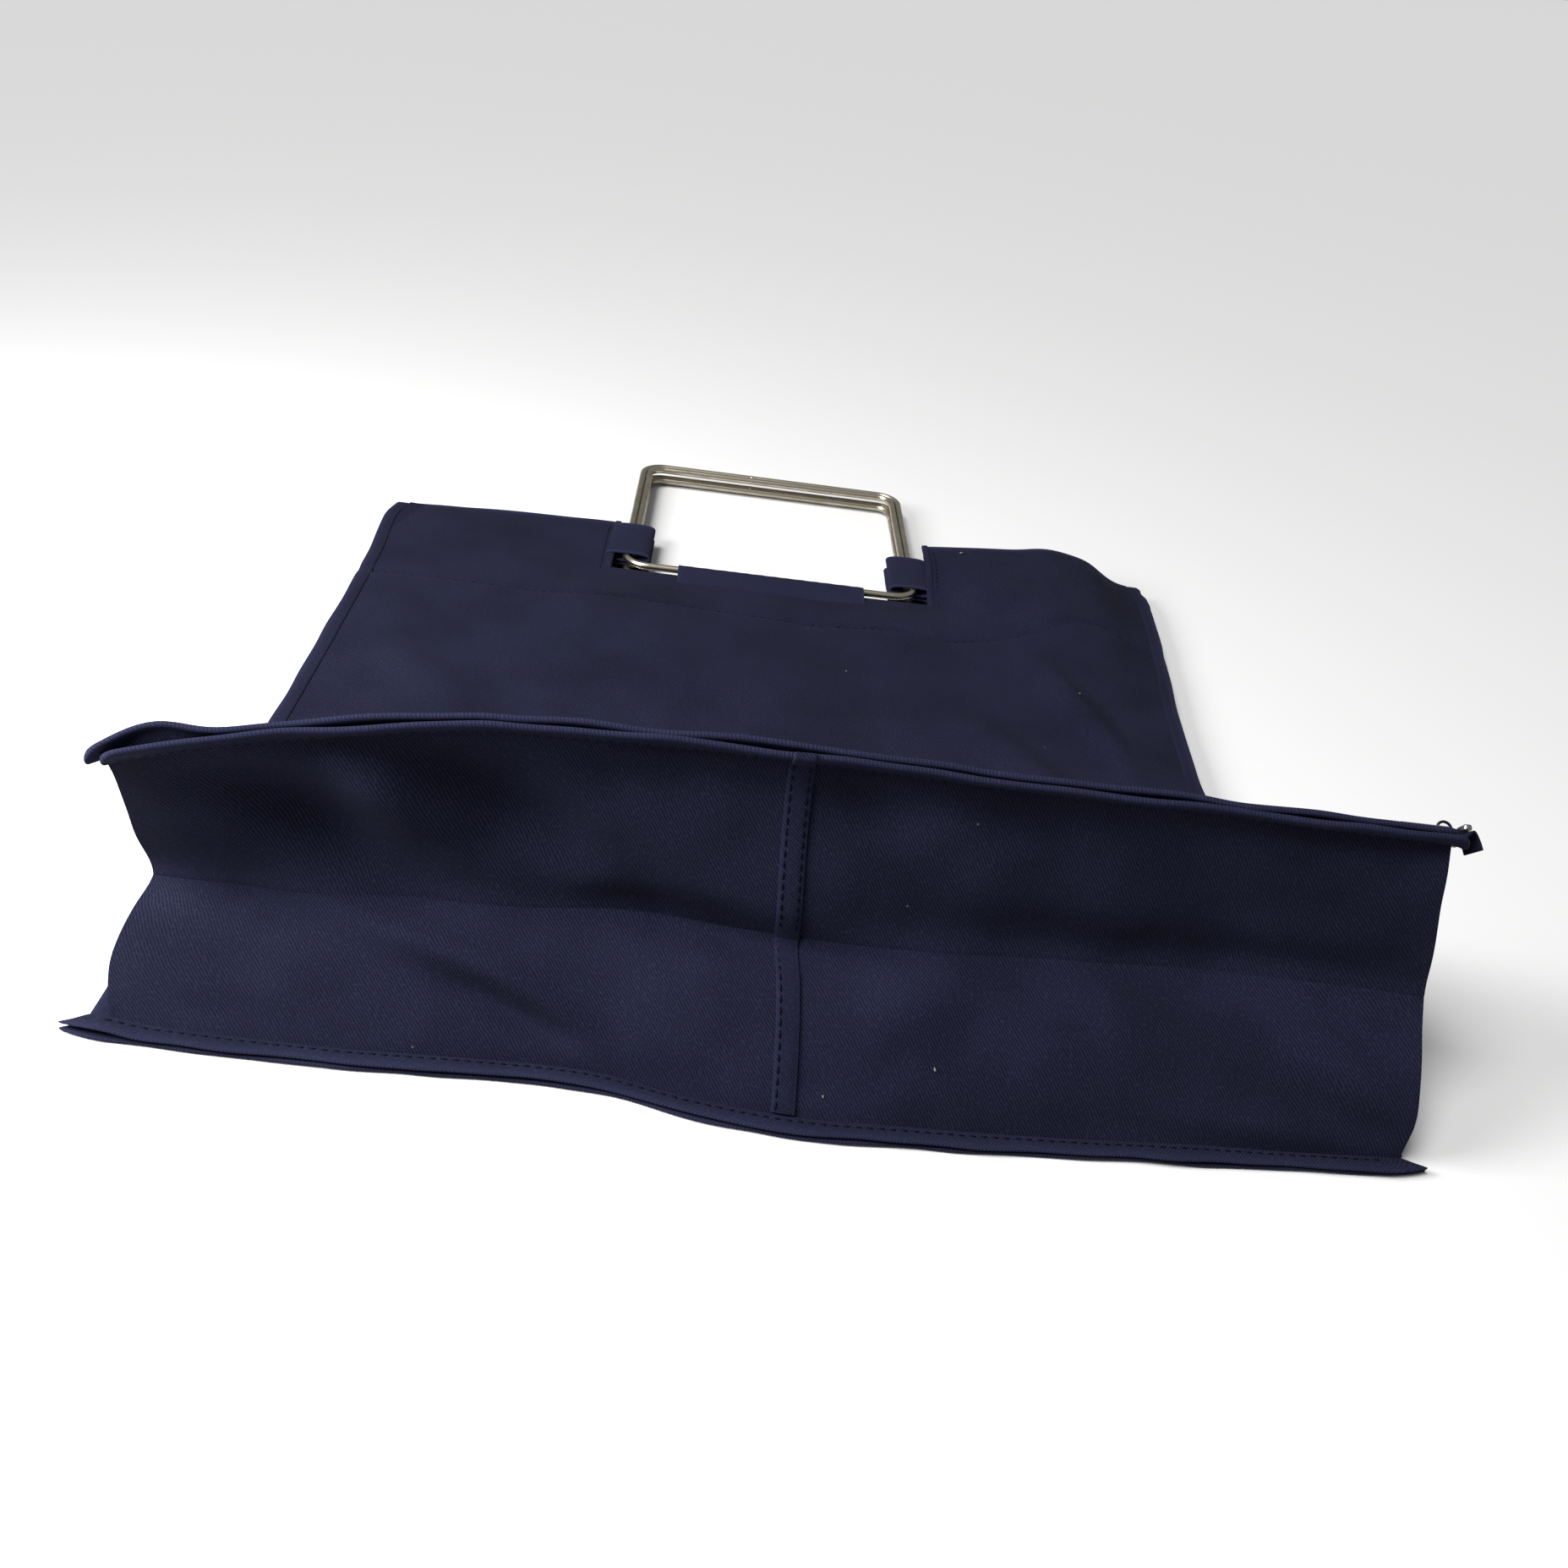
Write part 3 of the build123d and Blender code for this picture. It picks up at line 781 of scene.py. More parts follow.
def side_puff(a, share):
    """How the gusset's ends swell sideways, or are drawn in at the left end of the crease."""
    if a > 0:
        swell = 0.0060 * math.exp(-(((share + 0.35) / 0.85) ** 2))
        swell += 0.0026 * eased(share, -0.25, 0.05)
        swell += 0.0016 * math.exp(-(((share + 0.85) / 0.2) ** 2))
    else:
        swell = 0.0038 * math.exp(-(((share + 0.62) / 0.28) ** 2))
        swell -= 0.0034 * math.exp(-((share / 0.22) ** 2))
    return math.copysign(1, a) * swell * eased(abs(a), 0.150, half_width)


def lower_line(a):
    """Where the gusset's lower edge meets the back panel's seam."""
    return Vector((a, lower_hinge.y - through(seam_bow, a), lower_hinge.z + 0.0006))


def upper_line(a):
    """Where the gusset's upper edge meets the front panel's seam."""
    return lift_place(a, lift_length, out=-cloth)


def gusset_place(a, share, out=0.0):
    """The gusset: share is -1 at the lower seam, 0 at the crease and 1 at the upper seam."""
    low, high = lower_line(a), upper_line(a)
    chord = high - low
    inward = Vector((0, chord.z, -chord.y)).normalized()
    depth = through(crease_depth, a)
    crease = low + chord * through(crease_share, a) + inward * depth
    edge = low if share < 0 else high
    point = crease.lerp(edge, abs(share))
    if abs(share) < crease_bend:
        point -= inward * depth * (crease_bend - abs(share)) ** 2 / (2 * crease_bend)
    lower_run = (crease - low).normalized()
    upper_run = (high - crease).normalized()
    lower_out = Vector((0, -lower_run.z, lower_run.y))
    upper_out = Vector((0, -upper_run.z, upper_run.y))
    leaf_out = lower_out.lerp(upper_out, eased(share, -crease_bend, crease_bend)).normalized()
    loose = math.sin(math.pi * abs(share)) if share else 0.0
    free = eased(1 - abs(share), 0, 0.18)
    waver = ripple(a, share * half_gusset, 0.034, 0.0022, 4.4)
    waver += ripple(a, share * half_gusset, 0.013, 0.0006, 8.2)
    bulge = 0.0022 * loose * (1 if share < 0 else -0.4) + free * (gusset_dent(a, share) + waver)
    aside = seam_offset * eased(1 - (share + 1) / 2, 0, 1) - 0.001
    aside = aside * (1 - abs(a) / 0.22) + side_puff(a, share)
    return point + leaf_out * (bulge + out) + Vector((aside, 0, 0))


gusset_side = half_width - 0.0006
# The upper half's cloth runs on a little behind the lower half, so that the crease stays covered
# when the bottom is opened wider.
tucked = 0.11
tuck_depth = 0.0012
gusset_lines = {
    "lower": stations((-1, 18), (0, 0)),
    "upper": stations((-tucked, 4), (0, 18), (1, 0)),
}
for half, lines in gusset_lines.items():
    for side, columns in (
        ("left", stations((-gusset_side, 44), (0.0025, 0))),
        ("right", stations((-0.0005, 44), (gusset_side, 0))),
    ):
        layer = 0.0002 if side == "left" else -0.0002
        behind = tuck_depth if half == "upper" else 0

        def leaf_place(a, share, layer=layer, behind=behind):
            return gusset_place(a, share, out=layer - behind * eased(-share, 0, 0.025))

        leaf = cloth_sheet(
            f"gusset_{half}_{side}_cloth",
            columns,
            lines,
            leaf_place,
            cloth,
            navy_drill,
        )
        for loop in leaf.data.loops:
            leaf.data.uv_layers["UVMap"].data[loop.index].uv.y *= half_gusset
        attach(leaf, f"{half}_gusset")
        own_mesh(leaf)
        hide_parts(f"gusset_{half}_{side}")

# ---------------------------------------------------------------------------------------------
# Centre seam: the left piece's edge is turned over the right piece's and felled flat, which
# leaves a raised strip with dashes of stitching along its left-hand edge.
strip_width = 0.0070
strip_thickness = 0.0013
seam_drill = drill("seam drill", navy_shade, navy_light, slant=0.9, lint=0.2)


def strip_place(half):
    """The felled strip, a little wider on the upper half, which was sewn over the lower one."""
    wider = 1.08 if half == "upper" else 1.0

    def place(a, share):
        edge = 1 - (abs(a) / (strip_width / 2)) ** 4
        out = cloth / 2 + strip_thickness * (0.12 + 0.34 * edge)
        return gusset_place(a * wider, share, out=out)

    return place


for half, (start, end) in (("lower", (-0.985, -0.012)), ("upper", (-0.012, 0.985))):
    strip = cloth_sheet(
        f"centre_seam_{half}_strip",
        stations((-strip_width / 2, 6), (strip_width / 2, 0)),
        stations((start, 24), (end, 0)),
        strip_place(half),
        strip_thickness * 0.75,
        seam_drill,
        wear_and_sheen=lambda a, share: 0.05 + 0.3 * eased(abs(a), 0.0026, strip_width / 2),
    )
    for loop in strip.data.loops:
        strip.data.uv_layers["UVMap"].data[loop.index].uv.y *= half_gusset
    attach(strip, f"{half}_gusset")
    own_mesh(strip)
    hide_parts(f"centre_seam_{half}")

# ---------------------------------------------------------------------------------------------
# Corner folds: where the gusset turns from the bottom up each side it opens into two fans.
# The lower one lies against the back panel, the upper one hangs from the lifting part.
fan_inset = 0.0012
fold_end = side_start + 0.002


def fan_side(sign):
    """Where the folded side begins: its crease, halfway between the panels."""
    return Vector((narrowed(sign * side_crease, fold_end), fold_end, (side_low + side_high) / 2))


def lower_fan_place(sign):
    """a runs from the gusset's end to the folded side, b from the back seam in to the crease."""

    def place(a, b):
        foot = Vector((narrowed(sign * (half_width - fan_inset), fold_end), fold_end, 0.0022))
        inner = foot.lerp(fan_side(sign) - Vector((0, 0, cloth / 2)), b)
        point = gusset_place(sign * gusset_side, b - 1).lerp(inner, a)
        round_out = math.sin(math.pi * min(a * 1.4, 1)) * math.sin(math.pi * min(b * 0.8 + 0.1, 1))
        return point + Vector((sign * 0.0022 * round_out, 0, 0))

    return place


def upper_fan_place(sign):
    """The same for the upper half: b runs from the lift's side seam in to the crease."""

    def place(a, b):
        up = (1 - a) * lift_length
        edge = sign * (half_width - fan_inset)
        if up < lift_joint:
            head = front_place(edge, -up, out=-cloth)
        else:
            head = lift_place(edge, up, out=-cloth)
        tip = gusset_place(sign * gusset_side, 0)
        point = head.lerp(tip.lerp(fan_side(sign) + Vector((0, 0, cloth / 2)), a), b)
        at_end = gusset_place(sign * gusset_side, 1 - b)
        point = at_end.lerp(point, eased(a, 0, 0.3))
        return point + Vector((sign * 0.0022 * math.sin(math.pi * b) * math.sin(math.pi * a), 0, 0))

    return place


for sign, side in ((1, "right"), (-1, "left")):
    for half, place in (("lower", lower_fan_place(sign)), ("upper", upper_fan_place(sign))):
        fan = cloth_sheet(
            f"corner_fold_{half}_{side}_cloth",
            stations((0, 16), (1, 0)),
            stations((0, 10), (1, 0)),
            place,
            cloth,
            navy_drill,
        )
        for loop in fan.data.loops:
            uv = fan.data.uv_layers["UVMap"].data[loop.index].uv
            uv.x, uv.y = uv.x * lift_length, uv.y * half_gusset
        if half == "lower":
            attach(fan, "bag")
            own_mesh(fan)
        else:
            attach(fan, "front_lift")
            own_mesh(fan)
        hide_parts(f"corner_fold_{half}_{side}")

# ---------------------------------------------------------------------------------------------
# Pinched seams: panel and gusset edges folded in and sewn together, so that two rolled layers
# stand out all round the bag with a groove between them. The bottom corners end in small ears.
seam_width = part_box("back_side_seam_right")[1].x - half_width
layer_thickness = 0.00125
lift_layer = 0.0022


def rounded_end(a, low, high, reach=0.005):
    """Narrows a rolled edge to a rounded tip at each end."""
    over = max(low + reach - a, a - high + reach, 0) / reach
    return math.sqrt(max(1 - min(over, 1) ** 2, 0.06))


def seam_wear_and_sheen(width):
    """Seams are rubbed pale along their outer edge, where the ridge also carries a painted sheen.
    """
    return lambda a, b: 0.04 + 0.42 * eased(b, 0.5 * width, width)


def back_bottom_place(level, splay):
    """A layer of the back seam: a along it and on into its ears, b out from the panel's edge."""

    def place(a, b):
        tip = abs(a) - half_width
        x = a + math.copysign(ear_reach * eased(tip, 0, seam_width) * max(b, 0) / seam_width, a)
        b = b * (1 - 0.45 * eased(tip, 0.002, seam_width))
        y = lower_hinge.y + 0.0006 - b - through(seam_bow, x)
        z = 0.0009 + level + splay * eased(b, 0, seam_width)
        if level > 0:
            curl = eased(-a, half_width - 0.012, half_width + 0.002)
            z += 0.0016 * curl * (1 - eased(-x, half_width + 0.003, half_width + 0.013))
        z += ripple(a, level * 100, 0.03, 0.0005, 1.7)
        y += ripple(a, level * 300, 0.018, 0.0008, 6.6) * eased(b, 0.001, seam_width)
        return Vector((x, y, max(z, layer_thickness / 2)))

    return place


bottom_seam_width = seam_width + 0.0006
seam_rows = stations((0, 1), (0.0012, 1), (0.0030, 1), (0.0048, 1), (bottom_seam_width, 0))
ear_reach = 0.0100
seam_end = half_width + seam_width - 0.001
for name, level, splay in (("", 0.0, -0.0002), ("_upper_layer", layer_thickness * 1.05, 0.0004)):
    edge = cloth_sheet(
        f"back_bottom_seam{name}_roll",
        stations((-seam_end, 110), (seam_end, 0)),
        seam_rows,
        back_bottom_place(level, splay),
        layer_thickness,
        seam_drill,
        wear_and_sheen=seam_wear_and_sheen(bottom_seam_width),
        rolled=True,
    )
    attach(edge, "bag")
    if not name:
        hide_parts("back_bottom_seam")


def front_bottom_place(level, splay, low, high):
    """A layer of the front seam, with a small knob near its left end and both tips curled."""

    def place(a, b):
        b = b * rounded_end(a, low, high)
        point = lift_place(a, lift_length, out=level + splay * eased(b, 0, seam_width))
        knob = math.exp(-(((a + 0.183) / 0.012) ** 2)) if level > 0 else 0
        curl = 0.6 * eased(-a, 0.190, 0.202) + 0.5 * eased(a, 0.198, 0.206)
        out = 0.0046 * knob * eased(b, 0.0008, 0.0045) - 0.0030 * curl
        out += ripple(a, level * 300, 0.022, 0.0011, 3.6) * eased(b, 0, seam_width)
        b += ripple(a, level * 300, 0.015, 0.0009, 6.6) * eased(b, 0.001, seam_width)
        return point + up_lift * (b - 0.0006) + out_lift * out

    return place


lift_seam_ends = {"": (-0.2010, 0.2000), "_inner_layer": (-0.1965, 0.2035)}
lift_levels = {"": (0.0007, 0.0003), "_inner_layer": (-0.0011, -0.0003)}
for name, (low_end, high_end) in lift_seam_ends.items():
    edge = cloth_sheet(
        f"front_bottom_seam{name}_roll",
        stations((low_end, 4), (low_end + 0.005, 84), (high_end - 0.005, 4), (high_end, 0)),
        seam_rows,
        front_bottom_place(*lift_levels[name], low_end, high_end),
        lift_layer,
        seam_drill,
        wear_and_sheen=seam_wear_and_sheen(bottom_seam_width),
        rolled=True,
    )
    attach(edge, "front_lift")
    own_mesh(edge)
    if not name:
        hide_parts("front_bottom_seam")


def seam_end_place(a, b):
    """The centre seam's end, caught in the front seam and folded over its edge."""
    inner = lift_levels["_inner_layer"]
    under = front_bottom_place(*inner, *lift_seam_ends["_inner_layer"])
    reach = bottom_seam_width + 0.0004
    out = -lift_layer / 2 - 0.0004
    if b > reach:
        out += b - reach
    return under(a - 0.001, min(b, reach)) + out_lift * out


end_fold = cloth_sheet(
    "centre_seam_end_fold",
    stations((-strip_width / 2, 6), (strip_width / 2, 0)),
    stations((-0.0002, 8), (bottom_seam_width + 0.0028, 0)),
    seam_end_place,
    0.0010,
    seam_drill,
    wear_and_sheen=lambda a, b: 0.05 + 0.3 * eased(abs(a), 0.0024, strip_width / 2),
    rolled=True,
)
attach(end_fold, "front_lift")
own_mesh(end_fold)


def side_seam_place(sign, base, level, splay):
    """A side seam: a out from the panel's edge, b along it."""

    def place(a, b):
        waver = ripple(b, 0.3 * sign, 0.03, 0.0006, 6.1)
        frayed = eased(b, 0.248, 0.262) * (1 if sign > 0 else 0)
        waver += frayed * ripple(b, level * 900, 0.0045, 0.0042, 9.3)
        point = base(sign * half_width, b, level + splay * eased(a, 0, seam_width))
        return point + Vector((sign * (a - 0.0006 + waver * a / seam_width), 0, 0))

    return place


def back_edge(x, b, out):
    """The back panel's edge, held level by the seam."""
    point = back_place(x, b)
    point.z = 0.0009 + out
    return point


lift_seam_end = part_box("lift_side_seam_right")[1]
lift_seam_reach = (lift_seam_end.z - fold.z) / up_lift.z
seam_mouth = mouth - 0.0005
back_lines = stations((lower_hinge.y, 90), (seam_mouth, 0))
front_lines = stations((-lift_joint, 14), (fold_reach, 60), (seam_mouth - fold.y, 0))
lift_lines = stations((lift_joint, 24), (lift_seam_reach, 0))
inner_splay = 0.0004
for sign, side in ((1, "right"), (-1, "left")):
    for name, base, lines, level, inner_level in (
        ("back_side_seam", back_edge, back_lines, 0.0, 0.0013),
        ("front_side_seam", front_place, front_lines, 0.0003, -0.0010),
        ("lift_side_seam", lift_place, lift_lines, 0.0003, -0.0010),
    ):
        for layer, level, splay in (
            ("", level, 0.0),
            ("_inner_layer", inner_level, math.copysign(inner_splay, inner_level)),
        ):
            roll = cloth_sheet(
                f"{name}_{side}{layer}_roll",
                seam_rows,
                lines,
                side_seam_place(sign, base, level, splay),
                layer_thickness * 0.92,
                seam_drill,
                wear_and_sheen=lambda a, b: seam_wear_and_sheen(seam_width)(b, a),
                rolled=True,
            )
            if name == "front_side_seam":
                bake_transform(roll)
            elif name == "lift_side_seam":
                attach(roll, "front_lift")
                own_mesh(roll)
            else:
                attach(roll, "bag")
            if not layer:
                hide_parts(f"{name}_{side}")

# ---------------------------------------------------------------------------------------------
# Stitching: navy thread in short raised dashes, each one sunk a little at both ends, coloured
# darker than the cloth as painted shade of the stitch holes.
# One dash is modelled, repeated along the row, and bent to follow the cloth.
def mottled(name, dark, light, grain):
    """A material that goes from dark to light in small patches, with its shader and its noise."""
    made = bpy.data.materials.new(name)
    made.use_nodes = True
    tree = made.node_tree
    shader = tree.nodes["Principled BSDF"]
    place = add_node(tree, "ShaderNodeTexCoord")
    patches = add_node(tree, "ShaderNodeTexNoise")
    patches.inputs["Scale"].default_value = grain
    tone = add_node(tree, "ShaderNodeMix", data_type="RGBA")
    tone.inputs["A"].default_value = (*dark, 1)
    tone.inputs["B"].default_value = (*light, 1)
    tree.links.new(place.outputs["Object"], patches.inputs["Vector"])
    tree.links.new(patches.outputs["Fac"], tone.inputs["Factor"])
    tree.links.new(tone.outputs["Result"], shader.inputs["Base Color"])
    return made, shader, patches


# The thread is coloured darker than the cloth: its own navy plus painted shade of the sunk stitch
# holes.
thread, thread_shader, _ = mottled(
    "navy thread with painted hole shade", (0.0006, 0.0007, 0.0022), (0.0026, 0.0029, 0.0090), grain=900
)
thread_shader.inputs["Roughness"].default_value = 0.6
thread_shader.inputs["Specular IOR Level"].default_value = 0.04


def stitch_row(name, points, pitch, length, width, height):
    """A row of stitches along a line of points, as one piece."""
    bpy.ops.object.select_all(action="DESELECT")
    line_data = bpy.data.curves.new(name + "_line", "CURVE")
    line_data.dimensions = "3D"
    line_data.twist_mode = "Z_UP"
    line = line_data.splines.new("POLY")
    line.points.add(len(points) - 1)
    for spot, point in zip(line.points, points):
        spot.co = (*point, 1)
    guide = bpy.data.objects.new(name + "_line", line_data)
    bpy.context.scene.collection.objects.link(guide)
    total = sum((q - p).length for p, q in zip(points, points[1:]))
    bpy.ops.mesh.primitive_ico_sphere_add(subdivisions=1, radius=0.5)
    row = bpy.context.object
    row.name = name
    point_forward = Matrix.Rotation(math.radians(31.7), 4, "Y")
    row.data.transform(Matrix.Diagonal((length, width, height, 1)) @ point_forward)
    row.data.transform(Matrix.Translation((length / 2, 0, 0)))
    repeat = row.modifiers.new("repeat", "ARRAY")
    repeat.use_relative_offset = False
    repeat.use_constant_offset = True
    repeat.constant_offset_displace = (pitch, 0, 0)
    repeat.count = int(total / pitch)
    follow = row.modifiers.new("follow", "CURVE")
    follow.object = guide
    bpy.context.view_layer.update()
    bpy.ops.object.modifier_apply(modifier="repeat")
    bpy.ops.object.modifier_apply(modifier="follow")
    bpy.data.objects.remove(guide)
    bpy.ops.object.shade_smooth()
    row.data.materials.append(thread)
    return row


def spaced(start, end, count):
    """Even steps from start to end."""
    return [start + (end - start) * k / count for k in range(count + 1)]


stitch = {"pitch": 0.0035, "length": 0.0027, "width": 0.0008, "height": 0.0006}
strip_stitch_side = -strip_width / 2 + 0.0012
for half, (start, end) in (("lower", (-0.97, -0.03)), ("upper", (0.97, 0.02))):
    for column, shift in (("left", strip_stitch_side), ("right", strip_width / 2 - 0.0011)):
        if column == "right" and half == "lower":
            continue
        dashes = stitch_row(
            f"centre_seam_{half}_{column}_stitches",
            [
                strip_place(half)(shift, s) + Vector((0, -0.0005, 0.0003))
                for s in spaced(start, end, 30)
            ],
            **stitch,
        )
        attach(dashes, f"{half}_gusset")
        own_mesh(dashes)

upper_layer_top = back_bottom_place(layer_thickness * 1.05, 0.0004)
dashes = stitch_row(
    "back_bottom_seam_stitches",
    [
        upper_layer_top(a, 0.0021) + Vector((0, 0, layer_thickness / 2))
        for a in spaced(-half_width, half_width, 90)
    ],
    **stitch,
)
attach(dashes, "bag")

for name, side in (("_inner_layer", -1), ("", 1)):
    place = front_bottom_place(*lift_levels[name], *lift_seam_ends[name])
    dashes = stitch_row(
        f"front_bottom_seam{name}_stitches",
        [
            place(a, 0.0016) + out_lift * side * lift_layer * 0.46
            for a in spaced(-half_width, half_width, 90)
        ],
        **stitch,
    )
    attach(dashes, "front_lift")
    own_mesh(dashes)

dashes = stitch_row(
    "facing_stitches",
    [
        front_place(a, through(facing_stitch, a) - fold.y, out=cloth / 2)
        for a in spaced(-half_width + 0.001, half_width - 0.001, 120)
    ],
    pitch=0.0042,
    length=0.0027,
    width=0.0012,
    height=0.0010,
)
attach(dashes, "bag")

for sign, side in ((1, "right"), (-1, "left")):
    along_lift = side_seam_place(sign, lift_place, 0.0003, 0.0)
    dashes = stitch_row(
        f"lift_side_seam_{side}_stitches",
        [
            along_lift(0.0024, b) + out_lift * layer_thickness / 2
            for b in spaced(lift_joint, lift_seam_reach - 0.002, 30)
        ],
        **stitch,
    )
    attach(dashes, "front_lift")
    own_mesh(dashes)

# ---------------------------------------------------------------------------------------------
# Zip: a woven tape sewn along the outside of the lifting part, with a nylon coil down its middle
# and a metal stop at each end. Its right-hand end is left long and droops past the bag's corner.
tape_low, tape_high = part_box("zip_tape")
coil_low, coil_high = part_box("zip_coil")
zip_middle = (Vector(joints["zip_pull_swing"]["pos_m"]) - fold).dot(up_lift)
tape_half = 0.007
tape_out = cloth / 2 + 0.00035
tail_start = half_width + 0.008
# Painted rib shade and painted rib light of the zip tape.
tape_shade = (0.0017, 0.0018, 0.0050)
tape_light = (0.0064, 0.0068, 0.0165)
tape_drill = drill("zip tape weave", tape_shade, tape_light, slant=0.0, lint=0.1)


def zip_place(a, b, out=0.0):
    """Along the zip: a across the bag, b up the lift from the zip's middle.

    Past tail_start the tape folds narrower, flicks up and then droops back on itself.
    """
    point = lift_place(a, zip_middle + b, out=out)
    tail = max(0, a - tail_start)
    narrow = 1 - 0.45 * eased(tail, 0, 0.010)
    flicked = out_lift * 0.0050 * eased(tail, 0, 0.006)
    flicked += up_lift * 0.0030 * eased(tail, 0, 0.005)
    droop = out_lift * 38 * tail**2 + Vector((34 * tail**2, 0, 0))
    return point - up_lift * b * (1 - narrow) + flicked - droop


tape = cloth_sheet(
    "zip_tape_weave",
    stations((tape_low.x, 70), (half_width, 10), (tape_high.x, 0)),
    stations((-tape_half, 8), (tape_half, 0)),
    lambda a, b: zip_place(a, b, out=tape_out),
    0.0006,
    tape_drill,
    wear_and_sheen=lambda a, b: 0.3 * eased(abs(b), tape_half - 0.001, tape_half),
)
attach(tape, "front_lift")
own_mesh(tape)
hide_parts("zip_tape")

nylon, nylon_shader, nylon_patches = mottled(
    "dyed nylon", (0.010, 0.011, 0.028), (0.022, 0.024, 0.055), grain=300
)
nylon_shader.inputs["Specular IOR Level"].default_value = 0.5
nylon_gloss = add_node(nylon.node_tree, "ShaderNodeMapRange")
nylon_gloss.inputs["To Min"].default_value = 0.28
nylon_gloss.inputs["To Max"].default_value = 0.5
nylon.node_tree.links.new(nylon_patches.outputs["Fac"], nylon_gloss.inputs["Value"])
nylon.node_tree.links.new(nylon_gloss.outputs["Result"], nylon_shader.inputs["Roughness"])

tooth_pitch = 0.0013
coil_out = 0.0024
for row_name, shift, start in (("lower", -0.0009, 0.0), ("upper", 0.0009, tooth_pitch / 2)):
    teeth = stitch_row(
        f"zip_coil_{row_name}_row",
        [
            zip_place(a, shift, out=coil_out)
            for a in spaced(coil_low.x + start, coil_high.x, 120)
        ],
        pitch=tooth_pitch,
        length=0.0009,
        width=0.0034,
        height=0.0013,
    )
    teeth.data.materials[0] = nylon
    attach(teeth, "front_lift")
    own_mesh(teeth)
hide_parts("zip_coil")

for row_name, shift in (("lower", -0.0052), ("upper", 0.0052)):
    dashes = stitch_row(
        f"zip_tape_{row_name}_stitches",
        [
            zip_place(a, shift, out=tape_out + 0.0004)
            for a in spaced(tape_low.x + 0.002, half_width - 0.002, 90)
        ],
        **stitch,
    )
    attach(dashes, "front_lift")
    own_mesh(dashes)


def worn_metal(name, bright, dull, smooth, rough, scratch):
    """Plated metal, dulled in patches and finely scratched."""
    metal = bpy.data.materials.new(name)
    metal.use_nodes = True
    tree = metal.node_tree
    shader = tree.nodes["Principled BSDF"]
    shader.inputs["Metallic"].default_value = 1.0
    place = add_node(tree, "ShaderNodeTexCoord")
    patches = add_node(tree, "ShaderNodeTexNoise")
    patches.inputs["Scale"].default_value = 90
    patches.inputs["Detail"].default_value = 5
    fine = add_node(tree, "ShaderNodeTexNoise")
    fine.inputs["Scale"].default_value = scratch
    fine.inputs["Detail"].default_value = 3
    tone = add_node(tree, "ShaderNodeMix", data_type="RGBA")
    tone.inputs["A"].default_value = (*dull, 1)
    tone.inputs["B"].default_value = (*bright, 1)
    spread = add_node(tree, "ShaderNodeMapRange")
    spread.inputs["From Min"].default_value = 0.36
    spread.inputs["From Max"].default_value = 0.62
    gloss = add_node(tree, "ShaderNodeMapRange")
    gloss.inputs["From Min"].default_value = 0.3
    gloss.inputs["From Max"].default_value = 0.7
    gloss.inputs["To Min"].default_value = rough
    gloss.inputs["To Max"].default_value = smooth
    bump = add_node(tree, "ShaderNodeBump")
    bump.inputs["Strength"].default_value = 0.12
    bump.inputs["Distance"].default_value = 0.00004
    link = tree.links.new
    link(place.outputs["Object"], patches.inputs["Vector"])
    link(place.outputs["Object"], fine.inputs["Vector"])
    link(patches.outputs["Fac"], spread.inputs["Value"])
    link(spread.outputs["Result"], tone.inputs["Factor"])
    link(tone.outputs["Result"], shader.inputs["Base Color"])
    link(patches.outputs["Fac"], gloss.inputs["Value"])
    link(gloss.outputs["Result"], shader.inputs["Roughness"])
    link(fine.outputs["Fac"], bump.inputs["Height"])
    link(bump.outputs["Normal"], shader.inputs["Normal"])
    return metal


zip_nickel = worn_metal(
    "zip nickel",
    bright=(0.42, 0.42, 0.41),
    dull=(0.26, 0.26, 0.25),
    smooth=0.22,
    rough=0.42,
    scratch=900,
)
stop_length = 0.0026
stop_width = 0.0050
stop_height = 0.0022


def end_stop(name, at):
    """A stop: a strip of metal bent over the coil and pinched, with softened edges."""
    bpy.ops.object.select_all(action="DESELECT")
    bpy.ops.mesh.primitive_cube_add(size=1)
    stop = bpy.context.object
    stop.name = name
    stop.data.transform(Matrix.Diagonal((stop_length, stop_width, stop_height, 1)))
    bpy.ops.object.mode_set(mode="EDIT")
    bpy.ops.mesh.select_all(action="SELECT")
    bpy.ops.mesh.bevel(offset=0.0007, segments=3, affect="EDGES")
    bpy.ops.object.mode_set(mode="OBJECT")
    frame_turn = Matrix((Vector((1, 0, 0)), up_lift, out_lift)).transposed().to_4x4()
    stop.data.transform(Matrix.Translation(zip_place(at, 0, out=0.0025)) @ frame_turn)
    stop.data.update()
    bpy.ops.object.shade_smooth()
    stop.data.materials.append(zip_nickel)
    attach(stop, "front_lift")
    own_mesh(stop)
    return stop


stop_low, stop_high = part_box("zip_end_stops")
half_stop = stop_length / 2
left_stop = end_stop("zip_end_stop_left", stop_low.x + half_stop)
end_stop("zip_end_stop_right", stop_high.x - half_stop)
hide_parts("zip_end_stops")

# The slider is coloured near black, and its pull is bare nickel like the stops.
near_black_slider_metal = worn_metal(
    "near black slider metal",
    bright=(0.030, 0.032, 0.050),
    dull=(0.018, 0.019, 0.032),
    smooth=0.30,
    rough=0.5,
    scratch=600,
)
for node, finish in (("zip_slider", near_black_slider_metal), ("zip_pull", zip_nickel)):
    made = frame["nodes"][node]
    made.data.materials.clear()
    made.data.materials.append(finish)

